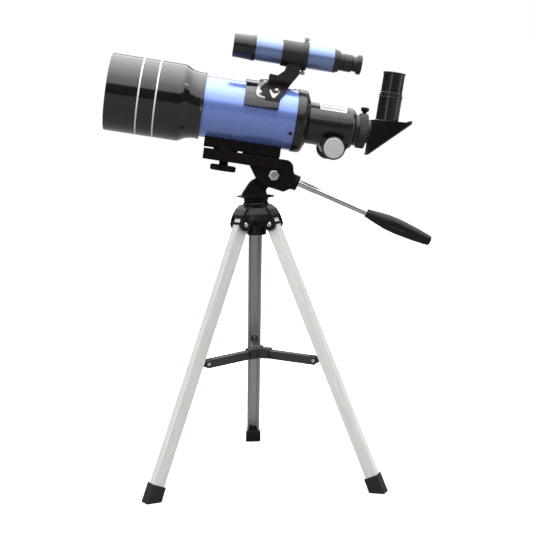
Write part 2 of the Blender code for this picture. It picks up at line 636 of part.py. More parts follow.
def make_finder(m, tube):
    finder = frame("finder_frame", tube, (0, 0, FINDER_H))
    bore = FINDER_RADIUS - FINDER_WALL
    along_tube("finder_tube", m["blue"], [
        (FINDER_RADIUS, FINDER_REAR), (FINDER_RADIUS, FINDER_FRONT),
        (bore, FINDER_FRONT), (bore, FINDER_REAR)], finder, 18)
    over_tube = FINDER_RADIUS + GAP
    lens_bore = FINDER_LENS_RADIUS + GAP
    seat = FINDER_FRONT - 0.0060
    along_tube("finder_objective_cell", m["gloss"], [
        (FINDER_CELL_RADIUS, FINDER_CELL_REAR), (FINDER_CELL_RADIUS, FINDER_CELL_REAR - 0.0040),
        (FINDER_CELL_RADIUS - 0.0008, FINDER_CELL_REAR - 0.0120),
        (FINDER_CELL_RADIUS - 0.0012, FINDER_CELL_FRONT + 0.0006),
        (FINDER_CELL_RADIUS - 0.0016, FINDER_CELL_FRONT), (lens_bore, FINDER_CELL_FRONT),
        (lens_bore, seat), (lens_bore - 0.0014, seat), (lens_bore - 0.0014, FINDER_FRONT - GAP),
        (over_tube, FINDER_FRONT - GAP), (over_tube, FINDER_CELL_REAR)], finder, 18)
    along_tube("finder_lens", m["glass"], lens_profile(
        FINDER_LENS_RADIUS, seat - 0.0040, seat - GAP, 0.0013, 0.0), finder, 20, ring=False)
    ring_radius = bore - GAP
    slide_bore = FINDER_EYE_RADIUS + 0.0004
    along_tube("finder_rear_ring", m["black"], [
        (ring_radius - 0.0008, FINDER_REAR_RING_END), (ring_radius, FINDER_REAR_RING_END - 0.0008),
        (ring_radius, FINDER_REAR - 0.0080), (slide_bore, FINDER_REAR - 0.0080),
        (slide_bore, FINDER_REAR_RING_END)], finder, 18)
    end = FINDER_EYE_END
    eye = FINDER_EYE_RADIUS
    along_tube("finder_eyepiece", m["black"], [
        (eye + 0.0004, end), (eye + 0.0012, end - 0.0008), (eye + 0.0012, end - 0.0042),
        (eye - 0.0010, end - 0.0060), (eye - 0.0015, end - 0.0080), (eye - 0.0015, end - 0.0105),
        (eye, end - 0.0115), (eye, FINDER_REAR - 0.0110), (eye - 0.0014, FINDER_REAR - 0.0110),
        (eye - 0.0014, end - 0.0140), (eye - 0.0040, end - 0.0135), (eye - 0.0040, end - 0.0050),
        (eye - 0.0012, end)], frame("finder_focus_axis", finder), 24)
    return finder


def make_finder_bracket(m, tube, finder):
    saddle_radius = TUBE_RADIUS + GAP + SADDLE_THICKNESS
    saddle = along_tube("finder_base", m["gloss"], [
        (saddle_radius, SADDLE_REAR), (saddle_radius, SADDLE_FRONT),
        (TUBE_RADIUS + GAP, SADDLE_FRONT), (TUBE_RADIUS + GAP, SADDLE_REAR)], tube, 48)
    combine(saddle, side_plate("finder_base_limit", None, [
        (SADDLE_FRONT - 0.01, 0.0080), (SADDLE_REAR - 0.0145, 0.0080), (SADDLE_REAR - 0.0140, 0.0220),
        (SADDLE_REAR, 0.0440), (SADDLE_REAR, 0.0500), (SADDLE_FRONT - 0.01, 0.0500)],
        0.05, tube), 'INTERSECT')
    rail_foot = TUBE_RADIUS + 0.0002
    rail_middle = STALK_HALF_WIDTH + GAP + RAIL_THICKNESS / 2
    for side in (1, -1):
        join(saddle, side_plate("finder_rail", None, [
            (0.0096, rail_foot), (0.0102, 0.0412), (0.0110, 0.0420), (SADDLE_REAR - 0.0026, 0.0420),
            (SADDLE_REAR - 0.0020, 0.0412), (SADDLE_REAR - 0.0056, rail_foot)],
            RAIL_THICKNESS / 2, tube, side * rail_middle))
    bore = FINDER_RADIUS + GAP
    bracket = along_tube("finder_bracket", m["black"], [
        (FINDER_FLANGE_RADIUS, FINDER_RING_REAR), (FINDER_FLANGE_RADIUS, FINDER_FLANGE_FRONT),
        (FINDER_RING_RADIUS, FINDER_FLANGE_FRONT - 0.0010), (FINDER_RING_RADIUS, FINDER_RING_FRONT),
        (bore, FINDER_RING_FRONT), (bore, FINDER_RING_REAR)], finder, 18)
    stalk_end = FINDER_SCREW_S - 0.0037
    stalk_top = FINDER_H - FINDER_RING_RADIUS + 0.0030
    stalk = side_plate("finder_stalk", None, [
        (0.0106, 0.0350), (0.0107, 0.0485), (0.0196, 0.0477), (0.0277, 0.0552),
        (0.0290, stalk_top), (stalk_end, stalk_top), (stalk_end, SADDLE_REAR + 0.0130),
        (SADDLE_REAR - 0.0057, 0.0350)], STALK_HALF_WIDTH, tube)
    cut(stalk, rod("finder_tube_room", None, bore + 0.0005, -0.01, 0.07, finder,
                   turn=EDGE_ALONG_X, sides=22))
    join(bracket, stalk)
    cut(bracket, rod("finder_saddle_room", None, saddle_radius + GAP, -0.03, 0.07, tube,
                     turn=EDGE_ALONG_X, sides=48))
    head_foot = FINDER_FLANGE_RADIUS + 0.0012
    directions = (("top", 0.0), ("far", math.radians(-90)), ("low", math.radians(180)))
    for name, turn in directions:
        axis = frame("finder_screw_axis_" + name, finder, (FINDER_SCREW_S, 0, 0), (turn, 0, 0))
        turned("finder_screw_" + name, m["steel"], [
            (0, head_foot + 0.0036), (0.0026, head_foot + 0.0036), (0.0030, head_foot + 0.0030),
            (0.0030, head_foot), (0.0014, head_foot), (0.0014, FINDER_RADIUS + 0.0005),
            (0, FINDER_RADIUS + 0.0005)], axis, steps=12, ring=False)
        cut(bracket, rod("finder_screw_hole_" + name, None, 0.0018, 0.0100, 0.0200, axis, sides=12))


# ---------------------------------------------------------------- tube foot, tilt head and handle

def make_tube_foot(m, tube):
    foot = box("tube_foot", m["gloss"], (FOOT_FRONT, -FOOT_HALF_WIDTH, FOOT_BOTTOM),
               (FOOT_REAR, FOOT_HALF_WIDTH, -TUBE_RADIUS + 0.0060), tube)
    pad_bottom = FOOT_BOTTOM - FOOT_PAD
    join(foot, rod("foot_screw_pad", None, CAMERA_KNOB_RADIUS - 0.0008, pad_bottom,
                   FOOT_BOTTOM + 0.0010, tube, (CAMERA_SCREW_S, 0, 0), sides=24),
         box("foot_rear_pad", None, (-0.0070, -FOOT_HALF_WIDTH + 0.0005, pad_bottom),
             (FOOT_REAR - 0.0005, FOOT_HALF_WIDTH - 0.0005, FOOT_BOTTOM + 0.0010), tube))
    cut(foot, rod("foot_saddle", None, TUBE_RADIUS + GAP, FOOT_FRONT - 0.01, FOOT_REAR + 0.01, tube,
                  turn=EDGE_ALONG_X, sides=64),
        rod("foot_thread", None, CAMERA_STUD_RADIUS + GAP, pad_bottom - 0.002,
            CAMERA_STUD_TOP + 0.0005, tube, (CAMERA_SCREW_S, 0, 0)))


def make_tilt_head(m, tube, handle):
    pivot_s, pivot_h = TILT_PIVOT
    head = box("tilt_head", m["gloss"], (PLATFORM_FRONT, -PLATFORM_HALF_WIDTH, PLATFORM_BOTTOM),
               (PLATFORM_REAR, PLATFORM_HALF_WIDTH, PLATFORM_TOP), tube)
    cheeks = side_plate("tilt_cheeks", None, [
        (-0.0100, PLATFORM_TOP), (-0.0100, PLATFORM_BOTTOM + 0.0005), (0.0030, PLATFORM_BOTTOM + 0.0005),
        (pivot_s - 0.0199, pivot_h - 0.0060), (pivot_s - 0.0075, pivot_h - 0.0138),
        (pivot_s + 0.0140, pivot_h - 0.0172), (pivot_s + 0.0160, pivot_h - 0.0160),
        (pivot_s + 0.0205, pivot_h - 0.0130), (pivot_s + 0.0245, pivot_h - 0.0130),
        (pivot_s + 0.0245, pivot_h + 0.0030), (pivot_s + 0.0222, pivot_h + 0.0080),
        (pivot_s + 0.0210, pivot_h + 0.0140), (pivot_s + 0.0180, pivot_h + 0.0180),
        (pivot_s + 0.0145, PLATFORM_TOP)], CHEEK_HALF_WIDTH, tube)
    collar = turned("tilt_handle_socket", None, [
        (0, -0.0010), (0.0086, -0.0010), (0.0091, -0.0016), (0.0091, -0.0120), (0, -0.0120)], handle,
        (0, 0, -0.0012), EDGE_ALONG_X, steps=20, ring=False)
    join(head, cheeks, collar)
    under = PLATFORM_TOP - PLATFORM_PLATE
    screw_room = box("platform_room", None,
                     (PLATFORM_FRONT + 0.0030, -PLATFORM_HALF_WIDTH + 0.0028, -0.07),
                     (-0.0050, PLATFORM_HALF_WIDTH - 0.0028, under), tube)
    slot = box("tongue_slot", None, (-0.0070, -TONGUE_HALF_WIDTH - 0.0005, pivot_h - 0.03),
               (pivot_s + 0.0117, TONGUE_HALF_WIDTH + 0.0005, under + 0.0002), tube)
    screw_hole = rod("platform_screw_hole", None, CAMERA_STUD_RADIUS + 0.0004, under - 0.005,
                     PLATFORM_TOP + 0.005, tube, (CAMERA_SCREW_S, 0, 0))
    bolt_hole = rod("tilt_bolt_hole", None, TILT_BOLT_RADIUS + GAP, -0.03, 0.03, tube,
                    (pivot_s, 0, pivot_h), TOWARDS_FRONT)
    rod_hole = rod("handle_rod_hole", None, HANDLE_ROD_RADIUS + GAP, -HANDLE_SOCKET_DEPTH, 0.02,
                   handle, turn=EDGE_ALONG_X)
    cut(head, screw_room, slot, screw_hole, bolt_hole, rod_hole)


def make_camera_screw(m, tube):
    axis = frame("camera_screw_axis", tube, (CAMERA_SCREW_S, 0, 0))
    shoulder = PLATFORM_TOP - PLATFORM_PLATE - GAP
    knob_top, knob_bottom = CAMERA_KNOB_TOP, CAMERA_KNOB_BOTTOM
    turned("camera_screw", m["black"], [
        (0, CAMERA_STUD_TOP), (CAMERA_STUD_RADIUS, CAMERA_STUD_TOP), (CAMERA_STUD_RADIUS, shoulder),
        (0.0053, shoulder), (0.0053, knob_top), (CAMERA_KNOB_RADIUS - 0.0006, knob_top),
        (CAMERA_KNOB_RADIUS, knob_top - 0.0006), (CAMERA_KNOB_RADIUS, knob_bottom + 0.0006),
        (CAMERA_KNOB_RADIUS - 0.0006, knob_bottom), (0, knob_bottom)], axis, steps=20, ring=False)


def make_handle(m, handle):
    bottom = -HANDLE_SOCKET_DEPTH + GAP
    rod_end = GRIP_START + 0.0100
    rod("handle_rod", m["chrome"], HANDLE_ROD_RADIUS, bottom, rod_end, handle, turn=EDGE_ALONG_X)
    bore = HANDLE_ROD_RADIUS + GAP
    stations = ((1.0, 0.0030), (0.988, 0.0052), (0.93, 0.0066), (0.75, 0.0084), (0.50, GRIP_RADIUS),
                (0.32, 0.0093), (0.15, 0.0072), (0.03, 0.0056), (0.0, 0.0050))
    profile = [(0, GRIP_START + GRIP_LENGTH)]
    profile += [(radius, GRIP_START + GRIP_LENGTH * share) for share, radius in stations]
    profile += [(bore, GRIP_START), (bore, rod_end + GAP), (0, rod_end + GAP)]
    turned("handle_grip", m["gloss"], profile, handle, turn=EDGE_ALONG_X, steps=20, ring=False)


# ---------------------------------------------------------------- pan base and crown

def tilt_pivot_world():
    s, h = TILT_PIVOT
    c, d = math.cos(TUBE_TILT), math.sin(TUBE_TILT)
    return (s * c + h * d, AXIS_HEIGHT - s * d + h * c)


def make_pan_base(m, pan):
    top = PAN_DISC_TOP
    radius = PAN_DISC_RADIUS
    base = turned("pan_base", m["gloss"], [
        (0, top + 0.0012), (0.0150, top + 0.0012), (radius - 0.0020, top + 0.0002), (radius - 0.0003, top),
        (radius, top - 0.0006), (radius - 0.0002, top - 0.0013), (0.0190, top - 0.0019),
        (0.0150, top - 0.0027), (0.0140, PAN_BASE_BOTTOM), (0, PAN_BASE_BOTTOM)],
        pan, steps=24, ring=False)
    pivot = tilt_pivot_world()
    foot = top - 0.0008
    outline = [(-0.0172, foot), (-0.0152, top + 0.0036), (-0.0105, top + 0.0106),
               (-0.0073, top + 0.0150), (-0.0040, top + 0.0180), (0.0, top + 0.0204)]
    outline += arc(pivot, TILT_EYE_RADIUS, 128, -62, 12)
    outline += [(0.0136, top + 0.0090), (0.0118, top + 0.0062), (0.0126, top + 0.0024), (0.0138, foot)]
    tower = side_plate("pan_tower", None, outline, PAN_TOWER_HALF_WIDTH, pan)
    seat = (pivot[0], 0, pivot[1])
    for name, low, high in (("near", TONGUE_HALF_WIDTH, 0.03), ("far", -0.03, -TONGUE_HALF_WIDTH)):
        cut(tower, rod("tongue_side_" + name, None, TILT_SWEEP_RADIUS - 0.0018, low, high, pan, seat,
                       TOWARDS_FRONT, sides=34))
    cut(tower, rod("tongue_bolt_hole", None, TILT_BOLT_RADIUS + GAP, -0.02, 0.02, pan, seat,
                   TOWARDS_FRONT))
    join(base, tower)
    cut(base, rod("pan_bolt_hole", None, PAN_BOLT_RADIUS + GAP, PAN_BASE_BOTTOM - 0.002,
                  top + 0.0060, pan))
    bolt = rod("tilt_bolt", m["steel"], TILT_BOLT_RADIUS, -CHEEK_HALF_WIDTH - 0.0036,
               CHEEK_HALF_WIDTH + 0.0010, pan, seat, TOWARDS_FRONT, sides=12)
    head_low = CHEEK_HALF_WIDTH + GAP
    join(bolt, rod("tilt_bolt_head", None, BOLT_HEAD_RADIUS, head_low, head_low + BOLT_HEAD_THICKNESS,
                   pan, seat, TOWARDS_FRONT, sides=6),
         rod("tilt_bolt_nut", None, BOLT_HEAD_RADIUS, -head_low - BOLT_HEAD_THICKNESS, -head_low,
             pan, seat, TOWARDS_FRONT, sides=6))
    rod("pan_bolt", m["steel"], PAN_BOLT_RADIUS, BOSS_BOTTOM + 0.0006, top + 0.0055, pan)
    nut = rod("pan_nut", m["steel"], 0.0066, BOSS_BOTTOM + 0.0012, NUT_RECESS_TOP - GAP, pan, sides=6)
    cut(nut, rod("pan_nut_thread", None, PAN_BOLT_RADIUS + GAP, BOSS_BOTTOM - 0.01,
                 NUT_RECESS_TOP + 0.01, pan))


def leg_point(x, z):
    """A point of the open leg's frame, as radius and height."""
    c, d = math.cos(LEG_SPLAY), math.sin(LEG_SPLAY)
    return (LEG_PIVOT_RADIUS + x * c - z * d, LEG_PIVOT_HEIGHT + x * d + z * c)


def make_crown(m, root):
    shoulder = LEG_PIVOT_HEIGHT + 0.0090
    crown = turned("crown", m["gloss"], [
        (CROWN_NECK_RADIUS - 0.0006, CROWN_TOP), (CROWN_NECK_RADIUS, CROWN_TOP - 0.0006),
        (CROWN_NECK_RADIUS + 0.0008, CROWN_TOP - 0.0028), (0.0205, CROWN_TOP - 0.0068),
        (0.0244, shoulder + 0.0030), (0.0258, shoulder - 0.0035), (0.0257, LEG_PIVOT_HEIGHT + 0.0040),
        (0.0240, LEG_PIVOT_HEIGHT + 0.0034), (BOSS_RADIUS, LEG_PIVOT_HEIGHT + 0.0032),
        (BOSS_RADIUS - 0.0003, BOSS_BOTTOM + 0.0008), (BOSS_RADIUS - 0.0011, BOSS_BOTTOM),
        (NUT_RECESS_RADIUS, BOSS_BOTTOM), (NUT_RECESS_RADIUS, NUT_RECESS_TOP),
        (PAN_BOLT_RADIUS + 0.0004, NUT_RECESS_TOP), (PAN_BOLT_RADIUS + 0.0004, CROWN_TOP)],
        root, steps=26)
    pivot = (LEG_PIVOT_RADIUS, LEG_PIVOT_HEIGHT)
    lobe = [(0.0060, CROWN_TOP - 0.0030), (0.0160, CROWN_TOP - 0.0032), (0.0235, CROWN_TOP - 0.0078),
            (0.0295, CROWN_TOP - 0.0145), (0.0330, CROWN_TOP - 0.0215), (0.0345, CROWN_TOP - 0.0280)]
    lobe += [(0.0340, LEG_PIVOT_HEIGHT - 0.0032)] + arc(pivot, 0.0076, -30, -150, 5)
    lobe += [(0.0060, LEG_PIVOT_HEIGHT - 0.0030)]
    play = 0.00035
    half_depth = LEG_DEPTH / 2 + play
    corner_angle = math.degrees(LEG_SPLAY + math.atan2(LEG_TOP + play, half_depth))
    fold = math.degrees(LEG_FOLD)
    middle = LEG_SPLAY - LEG_FOLD / 2
    reach = half_depth / math.cos(LEG_FOLD / 2)
    slot = [leg_point(half_depth, 0.0085)]
    slot += arc(pivot, math.hypot(half_depth, LEG_TOP + play), corner_angle, corner_angle - fold, 4)
    slot += [(pivot[0] + reach * math.cos(middle), pivot[1] + reach * math.sin(middle)),
             leg_point(half_depth, -0.0250), (0.0133, BOSS_BOTTOM - 0.0100),
             (0.0133, LEG_PIVOT_HEIGHT + 0.0060), (0.0165, leg_point(half_depth, 0.0085)[1])]
    for number, azimuth in enumerate(LEG_AZIMUTHS, start=1):
        spoke = frame("crown_spoke_%d" % number, root, turn=(0, 0, azimuth))
        join(crown, side_plate("crown_lobe_%d" % number, None, lobe, LOBE_HALF_WIDTH, spoke))
    for number, azimuth in enumerate(LEG_AZIMUTHS, start=1):
        spoke = frame("crown_slot_spoke_%d" % number, root, turn=(0, 0, azimuth))
        cut(crown, side_plate("crown_slot_%d" % number, None, slot, LEG_INNER_WIDTH / 2 + play, spoke))
        hole = (LEG_PIVOT_RADIUS, 0, LEG_PIVOT_HEIGHT)
        cut(crown, rod("crown_pin_hole_%d" % number, None, LEG_PIN_RADIUS + GAP, -0.02, 0.02, spoke,
                       hole, TOWARDS_FRONT, sides=12))
        pin_end = LOBE_HALF_WIDTH + GAP
        head = LEG_PIN_HEAD_THICKNESS
        rise = [(0, pin_end + head), (LEG_PIN_HEAD_RADIUS - 0.0005, pin_end + head),
                (LEG_PIN_HEAD_RADIUS, pin_end + head / 2), (LEG_PIN_HEAD_RADIUS, pin_end),
                (LEG_PIN_RADIUS, pin_end)]
        profile = rise + [(radius, -height) for radius, height in reversed(rise)]
        turned("leg_pin_%d" % number, m["steel"], profile, spoke, hole, TOWARDS_FRONT, 12, ring=False)


# ---------------------------------------------------------------- legs and spreader

def leg_section(grow, wall):
    """The leg's trough section in its local XY, open towards the tripod's middle."""
    out, wide, narrow = LEG_DEPTH / 2 + grow, LEG_INNER_WIDTH / 2 + grow, LEG_OUTER_WIDTH / 2 + grow
    if wall is None:
        return [(out, -narrow), (out, narrow), (-out, wide), (-out, -wide)]
    return [(out, -narrow), (out, narrow), (-out, wide), (-out, wide - wall), (out - wall, narrow - wall),
            (out - wall, wall - narrow), (-out, wall - wide), (-out, -wide)]


def sole_level(x):
    """Local height of the floor below a point of the leg's frame."""
    return -(LEG_PIVOT_HEIGHT + x * math.sin(LEG_SPLAY)) / math.cos(LEG_SPLAY)


def make_leg(m, number, leg):
    length = -sole_level(0.0)
    cap_top = -length + LEG_FOOT_HEIGHT
    leg_end = -length + 0.0062
    channel = plate("leg_%d" % number, m["aluminium"], leg_section(0.0, LEG_WALL), leg_end, LEG_TOP, leg)
    cut(channel, rod("leg_pin_hole_%d" % number, None, LEG_PIN_RADIUS + GAP, -0.02, 0.02, leg,
                     turn=TOWARDS_FRONT, sides=12))
    foot = plate("leg_foot_%d" % number, m["rubber"], leg_section(LEG_FOOT_WALL, None),
                 -length, cap_top, leg)
    for vertex in foot.data.vertices:
        if vertex.co.z < (cap_top - length) / 2:
            vertex.co.z = sole_level(vertex.co.x)
    cut(foot, plate("foot_socket_%d" % number, None, leg_section(GAP, LEG_WALL + 2 * GAP),
                    leg_end - GAP, cap_top + 0.005, leg))


def make_hub(m, hub):
    post = turned("spreader_hub", m["enamel"], [
        (0, HUB_TOP), (HUB_POST_RADIUS - 0.0012, HUB_TOP), (HUB_POST_RADIUS, HUB_TOP - 0.0012),
        (HUB_POST_RADIUS, -ARM_HEIGHT / 2), (0, -ARM_HEIGHT / 2)], hub, steps=18, ring=False)
    plate_low = ARM_HEIGHT / 2 + GAP
    reach = HUB_PIN_RADIUS + 0.0040
    outer = ARM_HALF_WIDTH + GAP + HUB_EAR_THICKNESS
    for number, azimuth in enumerate(LEG_AZIMUTHS, start=1):
        spoke = frame("hub_spoke_%d" % number, hub, turn=(0, 0, azimuth))
        join(post, side_plate("hub_yoke_%d" % number, None, [
            (0.0, plate_low + HUB_PLATE_THICKNESS), (0.0, -ARM_HEIGHT / 2),
            (reach - 0.0015, -ARM_HEIGHT / 2),
            (reach, -ARM_HEIGHT / 2 + 0.0020), (reach, plate_low + HUB_PLATE_THICKNESS)], outer, spoke))
    for number, azimuth in enumerate(LEG_AZIMUTHS, start=1):
        spoke = frame("hub_slot_spoke_%d" % number, hub, turn=(0, 0, azimuth))
        cut(post, box("hub_slot_%d" % number, None,
                      (HUB_PIN_RADIUS - ARM_HEIGHT / 2 - GAP, -ARM_HALF_WIDTH - GAP, -0.02),
                      (0.03, ARM_HALF_WIDTH + GAP, plate_low), spoke))


def make_arm(m, number, arm, length):
    half = ARM_HEIGHT / 2
    piece = side_plate("spreader_arm_%d" % number, m["enamel"], capsule(0, length, half),
                       ARM_HALF_WIDTH, arm)
    inner = ARM_HALF_WIDTH - ARM_WALL
    cut(piece, box("arm_room_%d" % number, None, (-0.01, -inner, -0.01),
                   (length + 0.01, inner, half - ARM_WALL), arm),
        box("arm_end_room_%d" % number, None, (length - half - 0.0005, -inner, -0.01),
            (length + 0.01, inner, 0.01), arm))


def make_bracket(m, number, bracket, reach):
    """Its frame is parallel to the leg's, with the pin at the origin; the strip lies reach away."""
    strip = box("leg_bracket_%d" % number, m["enamel"], (reach, -BRACKET_HALF_WIDTH, -BRACKET_BELOW),
                (reach + BRACKET_STRIP, BRACKET_HALF_WIDTH, BRACKET_ABOVE), bracket)
    outline = arc((0, 0), BRACKET_EYE_RADIUS, 90, 270, 6)
    outline += [(reach + 0.0005, -BRACKET_EYE_RADIUS - 0.0010),
                (reach + 0.0005, BRACKET_EYE_RADIUS + 0.0010)]
    join(strip, side_plate("bracket_tongue_%d" % number, None, outline,
                           BRACKET_TONGUE_HALF_WIDTH, bracket))


def make_tripod(m, root):
    hub = frame("hub_axis", root, (0, 0, HUB_HEIGHT))
    make_hub(m, hub)
    run = OUTER_PIN_RADIUS - HUB_PIN_RADIUS
    drop = HUB_HEIGHT - OUTER_PIN_HEIGHT
    arm_length = math.hypot(run, drop)
    arm_slope = math.atan2(drop, run)
    cosine, sine = math.cos(LEG_SPLAY), math.sin(LEG_SPLAY)
    pin_depth = ((LEG_PIVOT_RADIUS - OUTER_PIN_RADIUS) * cosine
                 + (LEG_PIVOT_HEIGHT - OUTER_PIN_HEIGHT) * sine)
    reach = pin_depth - LEG_DEPTH / 2 - 0.0005 - BRACKET_STRIP
    for number, azimuth in enumerate(LEG_AZIMUTHS, start=1):
        spoke = frame("leg_spoke_%d" % number, root, turn=(0, 0, azimuth))
        leg = frame("leg_axis_%d" % number, spoke, (LEG_PIVOT_RADIUS, 0, LEG_PIVOT_HEIGHT),
                    (0, -LEG_SPLAY, 0))
        make_leg(m, number, leg)
        arm = frame("arm_axis_%d" % number, spoke, (HUB_PIN_RADIUS, 0, HUB_HEIGHT), (0, arm_slope, 0))
        make_arm(m, number, arm, arm_length)
        bracket = frame("bracket_axis_%d" % number, arm, (arm_length, 0, 0),
                        (0, -LEG_SPLAY - arm_slope, 0))
        make_bracket(m, number, bracket, reach)


# ---------------------------------------------------------------- assembly

def stand_on_origin(root):
    """Move the whole object so that the middle of its box stands on the origin."""
    bpy.context.view_layer.update()
    view = bpy.context.evaluated_depsgraph_get()
    corners = []
    for obj in PARTS.objects:
        if obj.type == 'MESH':
            shape = obj.evaluated_get(view)
            corners += [shape.matrix_world @ vertex.co for vertex in shape.data.vertices]
    low = [min(corner[i] for corner in corners) for i in range(3)]
    high = [max(corner[i] for corner in corners) for i in range(3)]
    root.location = (-(low[0] + high[0]) / 2, -(low[1] + high[1]) / 2, -low[2])


def main():
    global PARTS, CUTTERS
    clear_scene()
    PARTS = collection("telescope_on_tripod")
    CUTTERS = collection("cutters")
    m = make_materials()
    root = frame("tripod_root")
    make_crown(m, root)
    make_tripod(m, root)
    pan = frame("pan_axis", root)
    make_pan_base(m, pan)
    pivot = tilt_pivot_world()
    tilt = frame("tilt_axis", pan, (pivot[0], 0, pivot[1]), (0, TUBE_TILT, 0))
    tube = frame("optical_frame", tilt, (-TILT_PIVOT[0], 0, -TILT_PIVOT[1]))
    handle = frame("handle_axis", tube, (HANDLE_START[0], 0, HANDLE_START[1]), (0, HANDLE_SLOPE, 0))
    make_tube_foot(m, tube)
    make_tilt_head(m, tube, handle)
    make_camera_screw(m, tube)
    make_handle(m, handle)
    make_tube(m, tube)
    make_objective(m, tube)
    make_rear_cell(m, tube)
    make_focuser_body(m, tube)
    make_pinion(m, tube)
    slider = frame("focus_axis", tube)
    make_drawtube(m, slider)
    make_thumbscrew(m, slider)
    swivel = frame("diagonal_axis", slider)
    make_diagonal(m, swivel)
    make_eyepiece(m, swivel)
    finder = make_finder(m, tube)
    make_finder_bracket(m, tube, finder)
    stand_on_origin(root)


main()
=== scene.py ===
"""Looks of the small refracting telescope on its folding table tripod.

Outlines and profiles are in millimetres, in the frame of the sub-assembly they belong to. In the
tube's frame X runs along the optical axis towards the eyepiece and Z points up across the tube.
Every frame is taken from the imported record's joints, so the pieces lie where the CAD model does.
"""
import json
import math

import bmesh
import bpy
from mathutils import Matrix, Vector

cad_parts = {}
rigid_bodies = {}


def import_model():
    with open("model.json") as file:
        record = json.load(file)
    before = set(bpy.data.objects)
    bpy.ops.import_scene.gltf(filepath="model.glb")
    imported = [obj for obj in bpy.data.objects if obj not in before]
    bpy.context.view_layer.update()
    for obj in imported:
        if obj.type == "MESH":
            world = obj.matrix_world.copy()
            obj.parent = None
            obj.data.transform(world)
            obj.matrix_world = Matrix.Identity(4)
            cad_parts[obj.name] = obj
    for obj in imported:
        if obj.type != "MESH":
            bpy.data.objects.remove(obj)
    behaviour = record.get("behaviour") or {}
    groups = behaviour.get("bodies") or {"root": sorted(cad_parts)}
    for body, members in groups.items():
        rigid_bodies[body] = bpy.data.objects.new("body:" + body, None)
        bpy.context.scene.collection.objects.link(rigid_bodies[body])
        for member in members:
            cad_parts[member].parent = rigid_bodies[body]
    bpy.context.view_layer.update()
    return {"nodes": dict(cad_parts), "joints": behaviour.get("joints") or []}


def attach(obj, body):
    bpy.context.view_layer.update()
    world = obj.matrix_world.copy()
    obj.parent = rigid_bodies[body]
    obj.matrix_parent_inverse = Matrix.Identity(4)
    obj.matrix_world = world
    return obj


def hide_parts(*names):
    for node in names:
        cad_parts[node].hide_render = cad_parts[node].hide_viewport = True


MM = 0.001
CORNER_STEPS = 5
CREASE = 35.0
ALONG_X = Matrix.Rotation(math.radians(90), 4, 'Y')
SIDEWAYS = Matrix.Rotation(math.radians(90), 4, 'X')

# Telescope
TUBE_RADIUS = 35.0
SHIELD_RADIUS = 44.0
FOCUSER_RADIUS = 24.0
FINDER_HEIGHT = 74.5
PINION = (93.8, -25.0)
EYEPIECE_S = 154.5
PIVOT = (32.3, -66.2)
PLATFORM_SCREW_S = -27.0
COLLAR_SCREW_S = 127.0
FINDER_SCREWS_S = 47.7
LABEL_ENDS = (73.6, 104.9)

# Tripod
LEG_PIVOT_HEIGHT = 306.6
LEG_PIVOT_RADIUS = 22.0
LEG_SPLAY = math.radians(22.8)
HUB_HEIGHT = 151.1
HUB_PIN_RADIUS = 11.1
OUTER_PIN = (72.0, 148.0)
CROWN_TOP = 332.0
BOSS_BOTTOM = 293.0
PIN_HOLE_RADIUS = 2.3

SIDES = ("front_left", "front_right", "rear")

# Body and material slot of the pieces that ride on the telescope
GLOSS = ("telescope", "gloss_black")
SATIN = ("telescope", "satin_black")
ZINC = ("telescope", "zinc_steel")
GLASS = ("telescope", "lens_glass")


# ---------------------------------------------------------------- frames

def basis(origin, x, z):
    """A placement with its X and Z axes along the given directions."""
    x, z = Vector(x).normalized(), Vector(z).normalized()
    y = z.cross(x)
    return Matrix(((x[0], y[0], z[0], origin[0]), (x[1], y[1], z[1], origin[1]),
                   (x[2], y[2], z[2], origin[2]), (0, 0, 0, 1)))


def moved(place, x=0.0, y=0.0, z=0.0):
    """The placement shifted along its own axes by millimetres."""
    return place @ Matrix.Translation((x * MM, y * MM, z * MM))


def turned_about(place, axis, degrees):
    return place @ Matrix.Rotation(math.radians(degrees), 4, axis)


def make_frames(joints):
    """Placements of the sub-assemblies, from the positions and axes of the record's joints."""
    joint = {item["name"]: item for item in joints}
    pan = Vector(joint["pan"]["pos_m"])
    along = Vector(joint["focus"]["axis"])
    across = Vector(joint["tilt"]["axis"])
    on_axis = Vector(joint["diagonal_turn"]["pos_m"])
    middle = on_axis + along * ((pan.x - on_axis.x) / along.x)
    places = {"tube": basis(middle, along, along.cross(across)),
              "stand": Matrix.Translation((pan.x, pan.y, 0.0))}
    handle = joint["handle_twist"]
    places["handle"] = basis(handle["pos_m"], handle["axis"], Vector(handle["axis"]).cross(across))
    for side in SIDES:
        fold = joint[side + "_leg_fold"]
        hinge = Vector(fold["axis"])
        outwards = hinge.cross(Vector((0, 0, 1)))
        places[side] = basis(places["stand"].translation, outwards, (0, 0, 1))
        leg_x = Matrix.Rotation(-LEG_SPLAY, 3, hinge) @ outwards
        places[side + "_leg"] = basis(fold["pos_m"], leg_x, leg_x.cross(hinge))
        arm, bracket = joint[side + "_arm_turn"], joint[side + "_bracket_turn"]
        reach = Vector(bracket["pos_m"]) - Vector(arm["pos_m"])
        places[side + "_arm"] = basis(arm["pos_m"], reach, reach.cross(hinge))
        places[side + "_bracket"] = basis(bracket["pos_m"], leg_x, leg_x.cross(hinge))
    return places


# ---------------------------------------------------------------- mesh helpers

